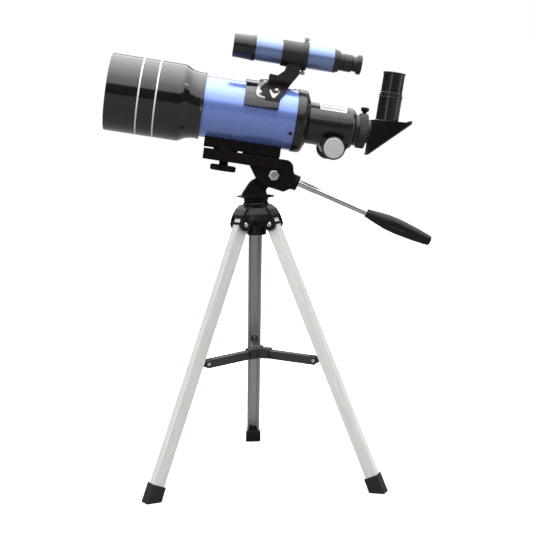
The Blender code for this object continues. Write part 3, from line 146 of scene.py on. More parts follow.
def rounded(points, radius, closed=True):
    """The outline with its corners rounded. A point's third value replaces the radius."""
    count = len(points)
    result = []
    for index, point in enumerate(points):
        corner = Vector(point[:2])
        size = point[2] if len(point) > 2 else radius
        if size <= 0 or (not closed and index in (0, count - 1)):
            result.append(tuple(corner))
            continue
        before = Vector(points[index - 1][:2]) - corner
        after = Vector(points[(index + 1) % count][:2]) - corner
        if before.length < 1e-6 or after.length < 1e-6:
            result.append(tuple(corner))
            continue
        half_angle = before.angle(after) / 2
        if half_angle > math.radians(88):
            result.append(tuple(corner))
            continue
        reach = min(size / math.tan(half_angle), 0.46 * before.length, 0.46 * after.length)
        start = corner + before.normalized() * reach
        end = corner + after.normalized() * reach
        for step in range(CORNER_STEPS + 1):
            t = step / CORNER_STEPS
            result.append(tuple(start * (1 - t) ** 2 + corner * (2 * t * (1 - t)) + end * t * t))
    return result


def arc(centre, radius, start, end, steps):
    turns = [math.radians(start + (end - start) * i / steps) for i in range(steps + 1)]
    return [(centre[0] + radius * math.cos(a), centre[1] + radius * math.sin(a)) for a in turns]


def crease(obj, degrees=CREASE):
    """Keep the edges that are sharper than the angle, and smooth the rest."""
    obj.data.set_sharp_from_angle(angle=math.radians(degrees))
    return obj


def new_object(name, shape, place, material):
    """An object from a bmesh in millimetres."""
    mesh = bpy.data.meshes.new(name)
    bmesh.ops.scale(shape, verts=shape.verts, vec=(MM, MM, MM))
    bmesh.ops.recalc_face_normals(shape, faces=shape.faces)
    shape.to_mesh(mesh)
    shape.free()
    mesh.shade_smooth()
    obj = bpy.data.objects.new(name, mesh)
    bpy.context.scene.collection.objects.link(obj)
    obj.matrix_world = place
    if material is not None:
        mesh.materials.append(material)
    return crease(obj)


def lathe(name, material, profile, place, steps=128, radius=0.3, closed=True, knurl=None):
    """Turn (radius, height) points about local Z. knurl is (ribs, depth, low, high)."""
    points = rounded(profile, radius, closed)
    shape = bmesh.new()
    rings = []
    for reach, height in points:
        if reach < 1e-6:
            rings.append([shape.verts.new((0, 0, height))])
            continue
        ring = []
        for index in range(steps):
            angle = math.tau * index / steps
            distance = reach
            if knurl and knurl[2] <= height <= knurl[3] and reach > knurl[4]:
                distance -= knurl[1] * (0.5 + 0.5 * math.cos(knurl[0] * angle))
            ring.append(shape.verts.new((distance * math.cos(angle), distance * math.sin(angle),
                    height)))
        rings.append(ring)
    pairs = list(zip(rings, rings[1:]))
    if closed:
        pairs.append((rings[-1], rings[0]))
    for first, second in pairs:
        for index in range(steps):
            after = (index + 1) % steps
            corners = [first[index % len(first)], first[after % len(first)],
                       second[after % len(second)], second[index % len(second)]]
            unique = list(dict.fromkeys(corners))
            if len(unique) > 2:
                shape.faces.new(unique)
    return new_object(name, shape, place, material)


def slab(name, material, outline, low, high, place, bevel=0.0):
    """A flat outline in local XY, thickened along local Z, with its rims bevelled."""
    shape = bmesh.new()
    lower = [shape.verts.new((x, y, low)) for x, y in (point[:2] for point in outline)]
    upper = [shape.verts.new((x, y, high)) for x, y in (point[:2] for point in outline)]
    shape.faces.new(lower)
    shape.faces.new(upper)
    for index in range(len(lower)):
        after = (index + 1) % len(lower)
        shape.faces.new((lower[index], lower[after], upper[after], upper[index]))
    obj = new_object(name, shape, place, material)
    if bevel:
        bevelled(obj, bevel)
    return obj


def side_slab(name, material, outline, half_width, place, middle=0.0, bevel=0.0):
    """An outline of (x, z) points thickened across the tube, along local Y."""
    return slab(name, material, outline, -middle - half_width, -middle + half_width,
                place @ SIDEWAYS, bevel)


def block(name, material, low, high, place, bevel=0.0):
    return slab(name, material, [(low[0], low[1]), (high[0], low[1]), (high[0], high[1]),
                                 (low[0], high[1])], low[2], high[2], place, bevel)


def bar(name, material, radius, low, high, place, sides=48):
    return lathe(name, material, [(0, low), (radius, low), (radius, high), (0, high)], place, sides,
                 radius=0.0, closed=False)


def applied(obj):
    """Bake the object's modifiers into its mesh."""
    view = bpy.context.evaluated_depsgraph_get()
    mesh = bpy.data.meshes.new_from_object(obj.evaluated_get(view))
    obj.modifiers.clear()
    obj.data = mesh
    return obj


def add_bevel(obj, width, segments, angle=40.0):
    step = obj.modifiers.new("Round", 'BEVEL')
    step.width = width * MM
    step.segments = segments
    step.limit_method = 'ANGLE'
    step.angle_limit = math.radians(angle)


def bevelled(obj, width, segments=3, angle=40.0):
    add_bevel(obj, width, segments, angle)
    applied(obj)
    obj.data.shade_smooth()
    return crease(obj, 50)


def shaped(obj, others, operation='DIFFERENCE'):
    """Cut the others from the object, or join them to it, and remove them."""
    for other in others:
        step = obj.modifiers.new(other.name, 'BOOLEAN')
        step.operation = operation
        step.object = other
        step.solver = 'EXACT'
    applied(obj)
    for other in others:
        bpy.data.objects.remove(other, do_unlink=True)
    return obj


def moulded(obj, grain=0.42, passes=3):
    """Fuse the object's shapes and soften its edges, as a moulded part's are."""
    remesh = obj.modifiers.new("Fuse", 'REMESH')
    remesh.mode = 'VOXEL'
    remesh.voxel_size = grain * MM
    remesh.use_smooth_shade = True
    soften = obj.modifiers.new("Soften", 'SMOOTH')
    soften.factor = 0.5
    soften.iterations = passes
    materials = [slot.material for slot in obj.material_slots]
    applied(obj)
    obj.data.materials.clear()
    for material in materials[:1]:
        obj.data.materials.append(material)
    obj.data.shade_smooth()
    return obj


def lens(name, material, radius, front, back, front_sag, back_sag, place):
    """A lens about local Z. A sag is how far the edge lies behind the middle of the surface."""
    fractions = [i / 10 for i in range(11)]
    rear = [(radius * f, back + back_sag * f * f) for f in fractions]
    fore = [(radius * f, front + front_sag * f * f) for f in reversed(fractions)]
    return lathe(name, material, rear + fore, place, 96, radius=0.0, closed=False)


def lined(obj, material, limit):
    """Give the faces that look towards local Z, within the limit radius, another material."""
    obj.data.materials.append(material)
    for face in obj.data.polygons:
        centre = Vector(face.center)
        outwards = Vector((centre.x, centre.y, 0))
        if outwards.length < limit * MM and face.normal.dot(outwards.normalized()) < -0.3:
            face.material_index = 1
    return obj


def stands_for(obj, body, slot, *nodes):
    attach(obj, body)
    if nodes:
        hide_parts(*nodes)
    return obj


# ---------------------------------------------------------------- materials

def finish(name, dark, light, roughness, scale=400.0, stretch=(1, 1, 1), bump=0.0, metallic=0.0,
           specular=0.5, coat=0.0, coat_roughness=0.05, spread=(0.35, 0.65)):
    """A surface whose colour, roughness and relief vary with a noise of the given scale per metre."""
    material = bpy.data.materials.new(name)
    material.use_nodes = True
    nodes, links = material.node_tree.nodes, material.node_tree.links
    shader = nodes["Principled BSDF"]
    shader.inputs["Metallic"].default_value = metallic
    shader.inputs["Specular IOR Level"].default_value = specular
    shader.inputs["Coat Weight"].default_value = coat
    shader.inputs["Coat Roughness"].default_value = coat_roughness
    place = nodes.new("ShaderNodeTexCoord")
    mapping = nodes.new("ShaderNodeMapping")
    mapping.inputs["Scale"].default_value = stretch
    links.new(place.outputs["Object"], mapping.inputs["Vector"])
    noise = nodes.new("ShaderNodeTexNoise")
    noise.inputs["Scale"].default_value = scale
    noise.inputs["Detail"].default_value = 4.0
    links.new(mapping.outputs["Vector"], noise.inputs["Vector"])
    ramp = nodes.new("ShaderNodeValToRGB")
    ramp.color_ramp.elements[0].position, ramp.color_ramp.elements[1].position = spread
    ramp.color_ramp.elements[0].color = (*dark, 1)
    ramp.color_ramp.elements[1].color = (*light, 1)
    links.new(noise.outputs["Fac"], ramp.inputs["Fac"])
    links.new(ramp.outputs["Color"], shader.inputs["Base Color"])
    gloss = nodes.new("ShaderNodeMapRange")
    gloss.inputs["To Min"].default_value, gloss.inputs["To Max"].default_value = roughness
    gloss.inputs["From Min"].default_value, gloss.inputs["From Max"].default_value = 0.3, 0.7
    links.new(noise.outputs["Fac"], gloss.inputs["Value"])
    links.new(gloss.outputs["Result"], shader.inputs["Roughness"])
    if bump:
        relief = nodes.new("ShaderNodeBump")
        relief.inputs["Strength"].default_value = 0.6
        relief.inputs["Distance"].default_value = bump * MM
        links.new(noise.outputs["Fac"], relief.inputs["Height"])
        links.new(relief.outputs["Normal"], shader.inputs["Normal"])
    return material


def clear_glass(name, tint):
    """Polished glass whose coating tints the light that glances off it."""
    material = finish(name, (1, 1, 1), (1, 1, 1), (0.01, 0.02), 60.0)
    shader = material.node_tree.nodes["Principled BSDF"]
    shader.inputs["Transmission Weight"].default_value = 1.0
    shader.inputs["IOR"].default_value = 1.52
    shader.inputs["Coat Weight"].default_value = 0.6
    shader.inputs["Coat Tint"].default_value = (*tint, 1)
    return material


def make_materials():
    grey = lambda value: (value, value * 0.985, value * 0.96)
    return {
        "blue": finish("blue_enamel", (0.120, 0.180, 0.46), (0.135, 0.200, 0.50), (0.24, 0.30), 900.0,
                       bump=0.0, metallic=0.50, coat=0.40, coat_roughness=0.10),
        "pale_blue": finish("finder_blue_enamel", (0.105, 0.150, 0.29), (0.120, 0.170, 0.33),
        (0.24, 0.30), 900.0, bump=0.0, metallic=0.45, coat=0.40, coat_roughness=0.10),
        "hood": finish("polished_black_plastic", grey(0.0035), grey(0.0055), (0.06, 0.11), 90.0,
                       bump=0.004),
        "gloss": finish("gloss_black_plastic", grey(0.004), grey(0.007), (0.20, 0.28), 300.0,
                        bump=0.004, specular=0.40),
        "head": finish("moulded_black_plastic", (0.0030, 0.0018, 0.0015), (0.0045, 0.0026, 0.0022),
                       (0.34, 0.46), 500.0, bump=0.010, specular=0.10),
        "crown": finish("crown_black_plastic", grey(0.0030), grey(0.0048), (0.24, 0.32), 260.0,
                        bump=0.006, specular=0.18),
        "satin": finish("satin_black_plastic", grey(0.0050), grey(0.0085), (0.36, 0.46), 700.0,
                        bump=0.008, specular=0.35),
        "flock": finish("matte_black_lining", grey(0.004), grey(0.009), (0.85, 0.95), 1500.0,
                        bump=0.03, specular=0.10),
        "rubber": finish("black_rubber", grey(0.006), grey(0.011), (0.58, 0.72), 600.0, bump=0.02,
                         specular=0.20),
        "grip": finish("grip_black_plastic", grey(0.0030), grey(0.0050), (0.30, 0.40), 350.0,
        bump=0.010, specular=0.20),
        "aluminium": finish("satin_aluminium", (0.46, 0.45, 0.435), (0.54, 0.53, 0.515), (0.36, 0.48),
        900.0, (1, 1, 0.02), bump=0.006, metallic=0.35),
        "chrome": finish("chrome_plate", (0.42, 0.41, 0.40), (0.48, 0.47, 0.46), (0.07, 0.12), 200.0,
                         metallic=1.0),
        "steel": finish("zinc_plated_steel", (0.36, 0.36, 0.35), (0.56, 0.56, 0.54), (0.24, 0.38),
        900.0, bump=0.006, metallic=1.0),
        # Spring steel for the V clip and hook, and also the silver of the painted highlight sheet on
        # the shoe cover.
        "spring": finish("spring_steel_and_painted_highlight", (0.16, 0.16, 0.155), (0.26, 0.26, 0.25), (0.28, 0.42), 900.0,
                         bump=0.004, metallic=0.70),
        "silver": finish("speckled_silver", (0.34, 0.34, 0.34), (0.56, 0.56, 0.56), (0.38, 0.50),
        2600.0, bump=0.010, metallic=0.55, spread=(0.42, 0.58)),
        "enamel": finish("black_painted_steel", grey(0.010), grey(0.016), (0.24, 0.34), 500.0,
                         bump=0.006, specular=0.5),
        "white": finish("white_paint", (0.56, 0.56, 0.56), (0.62, 0.62, 0.62), (0.25, 0.35), 500.0),
        "label": finish("grey_print", (0.20, 0.20, 0.21), (0.27, 0.27, 0.28), (0.35, 0.45), 500.0),
        "glass": clear_glass("coated_glass", (0.55, 0.75, 1.0)),
        "mirror": finish("mirror_coating", (0.88, 0.89, 0.90), (0.92, 0.92, 0.92), (0.01, 0.03), 50.0,
                         metallic=1.0),
    }


# ---------------------------------------------------------------- optical tube

def make_tube(m, tube):
    axis = tube @ ALONG_X
    stands_for(lined(lathe("tube_shell", m["blue"], [
        (TUBE_RADIUS, 53.5), (TUBE_RADIUS, -76.0), (33.8, -76.0), (33.8, 53.5)], axis, 192),
        m["flock"], 34.4), "telescope", "blue_enamel", "main_tube")
    stands_for(lined(lathe("dew_shield_shell", m["hood"], [
        (38.3, -60.3), (38.5, -61.2), (38.3, -62.3), (37.8, -63.4, 1.0), (38.2, -70.0, 9.0),
        (39.6, -76.2, 9.0), (41.8, -80.4, 5.0), (43.5, -83.2, 2.0), (44.0, -86.0, 4.0),
        (SHIELD_RADIUS, -169.4, 0.5), (41.8, -169.4, 0.5), (41.8, -86.5, 2.0), (40.5, -84.0),
        (36.9, -73.0, 3.0), (35.4, -65.5, 2.0), (35.4, -60.3)], axis, 192, radius=0.4), m["flock"],
        43.4), *GLOSS, "dew_shield")
    for name, middle in (("shield_ring_front", -132.7), ("shield_ring_rear", -113.3)):
        stands_for(lathe(name, m["white"], [
            (44.10, middle + 0.85), (44.10, middle - 0.85), (43.8, middle - 0.85),
            (43.8, middle + 0.85)], axis, 192, radius=0.08), *GLOSS)
    for index, angle in enumerate((-27.0, 93.0, 213.0), start=1):
        seat = moved(turned_about(tube, 'X', 90.0 - angle), 42.3, 0, TUBE_RADIUS)
        screw_head("tube_screw_%d" % index, m["satin"], 2.3, 1.0, seat, *SATIN)


def screw_head(name, material, radius, height, place, body, slot):
    """A low round head with a cross slot, standing on the placement's XY plane."""
    head = lathe(name, material, [
        (0, height), (radius * 0.6, height * 0.96, 0.5), (radius, height * 0.5), (radius, -0.4),
        (0, -0.4)], place, 40, radius=0.25, closed=False)
    arm = radius * 0.62
    width = radius * 0.14
    shaped(head, [block(name + "_slot", None, (-x, -y, height * 0.45), (x, y, height + 1), place)
                  for x, y in ((arm, width), (width, arm))])
    head.data.shade_smooth()
    crease(head)
    return stands_for(head, body, slot)


def make_objective(m, tube):
    axis = tube @ ALONG_X
    stands_for(lathe("objective_cell_ring", m["satin"], [
        (33.5, -64.0), (33.5, -76.3), (36.6, -76.3), (36.6, -87.5), (32.3, -87.5), (32.3, -76.2),
        (30.0, -76.2), (30.0, -64.0)], axis), *SATIN, "objective_cell")
    stands_for(lens("objective_rear_lens", m["glass"], 32.0, -78.3, -76.5, -1.6, 0.0, axis), *GLASS,
            "objective_flint")
    stands_for(lens("objective_front_lens", m["glass"], 32.0, -83.8, -78.6, 2.2, -1.6, axis), *GLASS,
            "objective_crown")
    ring = lathe("objective_lock_ring", m["satin"], [
        (32.0, -82.17), (32.0, -87.5), (30.0, -87.5), (30.0, -82.17)], axis, radius=0.2)
    notches = [block("ring_notch", None, (-88.0, -1.2, 29.0), (-86.6, 1.2, 33.0),
                     turned_about(tube, 'X', turn)) for turn in (0.0, 180.0)]
    stands_for(shaped(ring, notches), *SATIN, "objective_ring")


def make_rear_cell(m, tube):
    axis = tube @ ALONG_X
    stands_for(lathe("rear_cell_shell", m["gloss"], [
        (25.6, 62.2, 0.8), (34.0, 58.4, 1.2), (35.8, 56.4, 1.2), (36.2, 54.4, 1.0), (36.2, 46.5, 0.3),
        (35.3, 46.5), (35.3, 53.8), (22.6, 53.8), (22.6, 62.2)], axis, 160), *GLOSS, "rear_cell")


# ---------------------------------------------------------------- focuser

def curved_patch(name, material, radius, thickness, low, high, start, end, tube):
    """A patch that follows the tube, from low to high along it and between two elevations."""
    shape = bmesh.new()
    columns = 24
    layers = []
    for distance in (radius, radius + thickness):
        layer = []
        for s in (low, high):
            row = []
            for column in range(columns + 1):
                angle = math.radians(start + (end - start) * column / columns)
                row.append(shape.verts.new((s, -distance * math.cos(angle),
                        distance * math.sin(angle))))
            layer.append(row)
        layers.append(layer)
    for layer in layers:
        for column in range(columns):
            shape.faces.new((layer[0][column], layer[0][column + 1], layer[1][column + 1],
                    layer[1][column]))
    for end_row in range(2):
        for column in range(columns):
            shape.faces.new((layers[0][end_row][column], layers[0][end_row][column + 1],
                             layers[1][end_row][column + 1], layers[1][end_row][column]))
    for column in (0, columns):
        shape.faces.new((layers[0][0][column], layers[0][1][column],
                         layers[1][1][column], layers[1][0][column]))
    return new_object(name, shape, tube, material)


def make_focuser(m, tube):
    axis = tube @ ALONG_X
    s, h = PINION
    body = lathe("focuser_shell", m["gloss"], [
        (18.4, 117.0), (19.6, 117.0, 0.4), (22.0, 115.2, 2.0), (23.6, 112.4, 3.0),
        (FOCUSER_RADIUS, 108.6, 3.0),
        (FOCUSER_RADIUS, 62.5), (22.3, 62.5), (22.3, 55.0), (18.4, 55.0)], axis, 160)
    slot = block("rack_slot", None, (45.0, -3.5, -21.9), (127.0, 3.5, -10.0), tube)
    room = bar("pinion_room", None, 5.0, -3.8, 3.8, moved(tube, s, 0, h) @ SIDEWAYS)
    bore = bar("shaft_bore", None, 2.3, -30.0, 30.0, moved(tube, s, 0, h) @ SIDEWAYS)
    housing = side_slab("focuser_pinion_housing", m["gloss"], rounded([
        (s - 14.0, -19.0), (s - 14.0, h + 1.0, 2.5), (s - 9.5, h - 6.2, 3.0), (s + 10.0, h - 6.2, 3.0),
        (s + 15.0, h - 3.5, 3.0), (s + 18.5, -19.0)], 0.0), 15.0, tube)
    shaped(body, [slot])
    crease(body)
    stands_for(body, *GLOSS, "focuser_body")
    inner = bar("tube_room", None, 22.0, 60.0, 120.0, axis, 96)
    shaped(housing, [inner, room, bore])
    bevelled(housing, 0.5, 2, 50.0)
    stands_for(housing, *GLOSS)
    frame_width = 1.5
    label = curved_patch("focuser_label_frame", m["white"], 23.9, 0.2, *LABEL_ENDS, 45.0, 85.0, tube)
    stands_for(label, *GLOSS)
    stands_for(curved_patch("focuser_label_panel", m["label"], 24.0, 0.16, LABEL_ENDS[0] + frame_width,
                         LABEL_ENDS[1] - frame_width, 49.0, 81.0, tube), *GLOSS)
    ticks = 11
    for index in range(ticks):
        middle = 77.4 + 23.6 * index / (ticks - 1)
        tall = 70.0 if index % 5 == 0 else 64.0
        stands_for(curved_patch("focuser_label_tick_%02d" % (index + 1), m["white"], 24.08, 0.14,
                            middle - 0.3, middle + 0.3, 55.0, tall, tube), *GLOSS)
    seam = curved_patch("focuser_seam", m["gloss"], 23.8, 0.55, 65.0, 108.0, 21.5, 25.0, tube)
    stands_for(bevelled(seam, 0.25, 2), *GLOSS)


def make_drawtube(m, tube):
    axis = tube @ ALONG_X
    stands_for(lined(lathe("drawtube_shell", m["satin"], [
        (18.0, 124.2), (18.0, 20.0), (16.3, 20.0), (16.3, 124.2)], axis, 128), m["flock"], 17.0),
        "focus_slide", "satin_black", "drawtube")
    ribs, steps = 54, 432
    collar = lathe("drawtube_collar_shell", m["satin"], [
        (18.3, 122.2), (19.6, 122.2, 0.5), (20.3, 123.2, 0.5), (20.3, 130.5, 0.5), (19.7, 131.5, 0.4),
        (12.5, 131.5), (12.5, 124.5), (18.3, 124.5)], axis, steps, radius=0.2,
        knurl=(ribs, 0.55, 122.6, 131.0, 19.4))
    hole = bar("screw_hole", None, 1.8, 0.0, 30.0, moved(tube, COLLAR_SCREW_S))
    stands_for(shaped(collar, [hole]), "focus_slide", "satin_black", "drawtube_collar")
    stands_for(lathe("collar_thumbscrew", m["gloss"], [
        (0, 27.7), (3.2, 27.7, 0.6), (4.7, 26.9, 0.6), (4.7, 23.6, 0.6), (3.4, 22.6, 0.6),
        (2.6, 22.0, 0.4),
        (2.6, 20.6), (1.4, 20.6), (1.4, 12.7), (0, 12.7)], moved(tube, COLLAR_SCREW_S), 180, radius=0.2,
        closed=False, knurl=(30, 0.45, 23.2, 27.2, 4.2)), "collar_screw", "satin_black", "thumbscrew")


def make_knobs(m, tube):
    seat = moved(tube, PINION[0], 0, PINION[1])
    for name, node, turn in (("focus_knob_front_side", "focus_knob_near", 90),
                             ("focus_knob_far_side", "focus_knob_far", -90)):
        place = turned_about(seat, 'X', turn)
        stands_for(lathe(name, m["satin"], [
            (0, 34.0), (11.9, 34.0, 0.2), (12.1, 34.5, 0.2), (12.7, 34.5, 0.3), (13.4, 33.6, 0.4),
            (13.4, 25.8, 0.8), (9.4, 22.5, 0.8), (2.3, 22.5), (2.3, 32.5), (0, 32.5)], place, 432,
            radius=0.2, closed=False, knurl=(72, 0.40, 25.5, 33.9, 12.9)), "focus_pinion",
            "satin_black", node)
        stands_for(lathe(name + "_cap", m["silver"], [
            (0, 34.45), (11.2, 34.45, 0.3), (11.75, 34.1), (11.75, 33.7), (0, 33.7)], place, 128,
            radius=0.15, closed=False), "focus_pinion", "zinc_steel")


# ---------------------------------------------------------------- diagonal and eyepiece

DIAGONAL_TIP = (181.1, 15.4)
DIAGONAL_FOOT = (136.5, -26.5)


def slope_point(distance, depth):
    """A point along the diagonal's sloping back, from its tip, moved inwards by depth."""
    tip, foot = Vector(DIAGONAL_TIP), Vector(DIAGONAL_FOOT)
    run = (foot - tip).normalized()
    return tuple(tip + run * distance + Vector((run.y, -run.x)) * depth)


def make_diagonal(m, tube):
    axis = tube @ ALONG_X
    stands_for(lined(lathe("diagonal_nose_tube", m["chrome"], [
        (12.2, 138.1), (12.2, 110.0, 0.5), (11.0, 110.0, 0.5), (11.0, 138.1)], axis, 96), m["flock"],
        11.6), "star_diagonal", "chrome", "diagonal_nose")
    stands_for(lathe("diagonal_nose_shoulder", m["satin"], [
        (13.4, 136.0, 0.3), (13.4, 131.8, 0.3), (12.25, 131.8), (12.25, 136.0)], axis, 96, radius=0.2),
        "star_diagonal", "gloss_black")
    run = (Vector(DIAGONAL_FOOT) - Vector(DIAGONAL_TIP)).length
    inset = 1.8
    shell = side_slab("diagonal_prism_housing", m["head"], [
        (135.9, 14.6), slope_point(run - 2.5, inset), slope_point(0.0, inset), (181.1, 17.7)], 14.5,
        tube)
    room = side_slab("room", None, [
        (139.1, 12.4), (139.1, -18.5), slope_point(run - 10, -4), slope_point(10, -4), (172.5, 12.4)],
        12.3, tube)
    nose_hole = bar("nose_hole", None, 12.5, 125.9, 141.1, axis, 64)
    holder_hole = bar("holder_hole", None, 13.6, 10.4, 30.0, moved(tube, EYEPIECE_S), 64)
    bevelled(shell, 0.6, 3, 15.0)
    shaped(shell, [room, nose_hole, holder_hole])
    crease(shell, 30)
    stands_for(shell, "star_diagonal", "gloss_black", "diagonal_housing")
    stands_for(side_slab("diagonal_back_plate", m["satin"], [
        slope_point(-1, 0), slope_point(run, 0), slope_point(run - 1.3, 1.5), slope_point(0, 1.5),
        (181.35, 17.6), (181.35, 19.8), (182.0, 19.8)], 14.5, tube, bevel=0.25), "star_diagonal",
        "gloss_black", "diagonal_back")
    mirror = side_slab("diagonal_mirror_plate", m["mirror"], [
        slope_point(11, 1.8), slope_point(run - 12.2, 1.8), slope_point(run - 12.2, 3.3),
        slope_point(11, 3.3)], 11.8, tube, bevel=0.15)
    stands_for(mirror, "star_diagonal", "mirror", "diagonal_mirror")
    seat = moved(tube, EYEPIECE_S)
    stands_for(lathe("eyepiece_holder_tube", m["gloss"], [
        (13.8, 46.0, 0.3), (13.8, 44.6, 0.3), (13.3, 44.2), (13.3, 43.6), (13.6, 43.2, 0.2),
        (13.6, 42.4, 0.2), (13.3, 42.0), (13.3, 13.6), (12.5, 13.6), (12.5, 46.0)], seat, 128,
        radius=0.2), "star_diagonal", "gloss_black", "eyepiece_holder")
    stands_for(lathe("eyepiece_holder_flange", m["gloss"], [
        (14.4, 15.6, 0.3), (14.4, 14.0), (13.35, 14.0), (13.35, 16.4, 0.3)], seat, 128, radius=0.2),
        "star_diagonal", "gloss_black")


def make_eyepiece(m, tube):
    seat = moved(tube, EYEPIECE_S)
    stands_for(lined(lathe("eyepiece_chrome_barrel", m["chrome"], [
        (12.2, 46.0), (12.2, 19.0, 0.4), (11.1, 19.0), (11.1, 46.0)], seat, 96), m["flock"], 11.6),
        "eyepiece", "chrome", "eyepiece_barrel")
    top = 72.2
    base = top - 11.6
    stands_for(lathe("eyepiece_shell", m["gloss"], [
        (12.6, top, 0.2), (13.1, top - 0.5, 0.3), (13.1, top - 2.0, 0.3), (12.4, top - 2.7, 0.3),
        (12.4, 48.6, 0.2), (12.9, 48.2, 0.2), (12.9, 46.9, 0.2), (12.4, 46.5), (12.4, 46.3),
        (10.0, 46.3), (10.0, base - 1.6), (7.2, base - 1.6), (7.2, base), (8.3, base),
        (8.3, base + 4.4),
        (6.4, base + 4.8), (6.4, base + 5.6), (10.8, top, 0.3)], seat, 128, radius=0.2), "eyepiece",
        "gloss_black", "eyepiece_body")
    stands_for(lens("eyepiece_eye_lens", m["glass"], 8.0, base + 0.3, base + 3.6, 0.0, -1.2, seat),
            "eyepiece", "lens_glass", "eye_lens")
    stands_for(lens("eyepiece_field_lens", m["glass"], 10.8, 30.0, 34.0, 1.4, 0.0, seat), "eyepiece",
            "lens_glass", "field_lens")


# ---------------------------------------------------------------- finder

def make_finder(m, tube):
    finder = moved(tube, 0, 0, FINDER_HEIGHT)
    axis = finder @ ALONG_X
    stands_for(lined(lathe("finder_shell", m["pale_blue"], [
        (13.4, 81.2), (13.4, -17.0), (12.6, -17.0), (12.6, 81.2)], axis, 128), m["flock"], 13.0),
        "telescope", "blue_enamel", "finder_tube")
    stands_for(lined(lathe("finder_front_cell", m["gloss"], [
        (14.5, -10.0, 0.4), (14.5, -14.0, 0.3), (14.1, -14.6, 0.3), (13.7, -22.0, 4.0),
        (13.3, -34.8, 0.4), (12.9, -35.4, 0.3), (12.3, -35.4, 0.3), (12.3, -23.0), (10.9, -23.0),
        (10.9, -17.3), (13.7, -17.3), (13.7, -10.0)], axis, 128, radius=0.2), m["flock"], 12.8),
        *GLOSS, "finder_objective_cell")
    stands_for(lens("finder_front_lens", m["glass"], 12.0, -27.0, -23.3, 1.3, 0.0, axis), *GLASS,
            "finder_lens")
    stands_for(lathe("finder_rear_bushing", m["satin"], [
        (11.5, 88.0, 0.3), (12.3, 87.2, 0.4), (12.3, 73.2), (10.4, 73.2), (10.4, 88.0)], axis, 128),
        *SATIN, "finder_rear_ring")
    stands_for(lathe("finder_rear_collar", m["satin"], [
        (13.3, 84.6, 0.4), (13.3, 81.6, 0.3), (12.35, 81.6), (12.35, 85.2, 0.3)], axis, 128), *SATIN)
    stands_for(lathe("finder_eye_cup", m["satin"], [
        (8.8, 114.0, 0.3), (10.4, 114.0, 0.4), (11.2, 113.2, 0.6), (11.2, 109.8, 0.8),
        (9.0, 108.0, 1.0),
        (8.5, 106.0, 0.6), (8.5, 103.5, 0.6), (10.0, 102.4, 0.5), (10.0, 93.4), (9.5, 93.0),
        (9.5, 92.2),
        (10.0, 91.8), (10.0, 70.2), (8.6, 70.2), (8.6, 100.0), (6.0, 100.5), (6.0, 109.0, 0.5)],
        axis, 128, radius=0.2), "finder_focuser", "satin_black", "finder_eyepiece")


def make_finder_bracket(m, tube):
    finder = moved(tube, 0, 0, FINDER_HEIGHT)
    axis = finder @ ALONG_X
    bracket = lathe("finder_bracket_casting", m["satin"], [
        (16.5, 50.7, 0.6), (16.5, 44.7, 0.6), (14.9, 43.7, 0.5), (14.9, 20.7, 0.5), (13.7, 20.7),
        (13.7, 50.7)], axis, 128)
    stalk = side_slab("stalk", None, rounded([
        (10.6, 35.0), (10.7, 48.5, 0.8), (19.6, 47.7, 2.0), (27.7, 55.2, 1.0), (29.0, 62.6),
        (44.0, 62.6), (44.0, 52.0, 2.0), (33.3, 35.0)], 0.0), 8.5, tube)
    shaped(stalk, [bar("room", None, 14.2, -10.0, 70.0, axis, 96)])
    shaped(bracket, [stalk], 'UNION')
    cutters = [bar("saddle_room", None, 38.8, -30.0, 70.0, tube @ ALONG_X, 128)]
    screws = (("top", 0), ("far", -90), ("low", 180))
    for name, turn in screws:
        cutters.append(bar("hole_" + name, None, 1.8, 10.0, 20.0,
                           moved(turned_about(finder, 'X', turn), FINDER_SCREWS_S), 32))
    shaped(bracket, cutters)
    moulded(bracket, 0.40, 2)
    stands_for(bracket, *SATIN, "finder_bracket")
    for name, turn in screws:
        place = moved(turned_about(finder, 'X', turn), FINDER_SCREWS_S)
        screw = lathe("finder_adjuster_" + name, m["steel"], [
            (0, 21.3), (2.2, 21.3, 0.3), (3.0, 20.7, 0.3), (3.0, 18.0, 0.3), (2.2, 17.7), (1.4, 17.7),
            (1.4, 13.9), (0, 13.9)], place, 144, radius=0.15, closed=False,
            knurl=(24, 0.35, 18.2, 20.8, 2.7))
        shaped(screw, [block("slot", None, (-3.5, -0.35, 20.6), (3.5, 0.35, 22.0), place)])
        stands_for(screw, "finder_%s_screw" % name, "zinc_steel", "finder_screw_" + name)
    saddle = lathe("finder_saddle_plate", m["hood"], [
        (38.5, 39.0, 0.5), (38.5, -15.0, 0.5), (35.3, -15.0), (35.3, 39.0)], tube @ ALONG_X, 256)
    limit = side_slab("limit", None, [
        (-25.0, 8.0), (24.5, 8.0), (25.0, 22.0), (39.0, 44.0), (39.0, 50.0), (-25.0, 50.0)], 50.0, tube)
    shaped(saddle, [limit], 'INTERSECT')
    bevelled(saddle, 0.35, 2, 50.0)
    stands_for(saddle, *GLOSS, "finder_base")
    make_shoe(m, tube)


def draped(name, material, outline, tube, low=38.6, high=39.3):
    """A plate of (along, up) outline that follows the near flank of the finder's saddle."""
    sheet = lathe(name, material, [(high, 60.0), (high, -30.0), (low, -30.0), (low, 60.0)],
                  tube @ ALONG_X, 256, radius=0.0)
    shaped(sheet, [side_slab("outline", None, outline, 19.5, tube, middle=-20.5)], 'INTERSECT')
    return crease(sheet, 30)


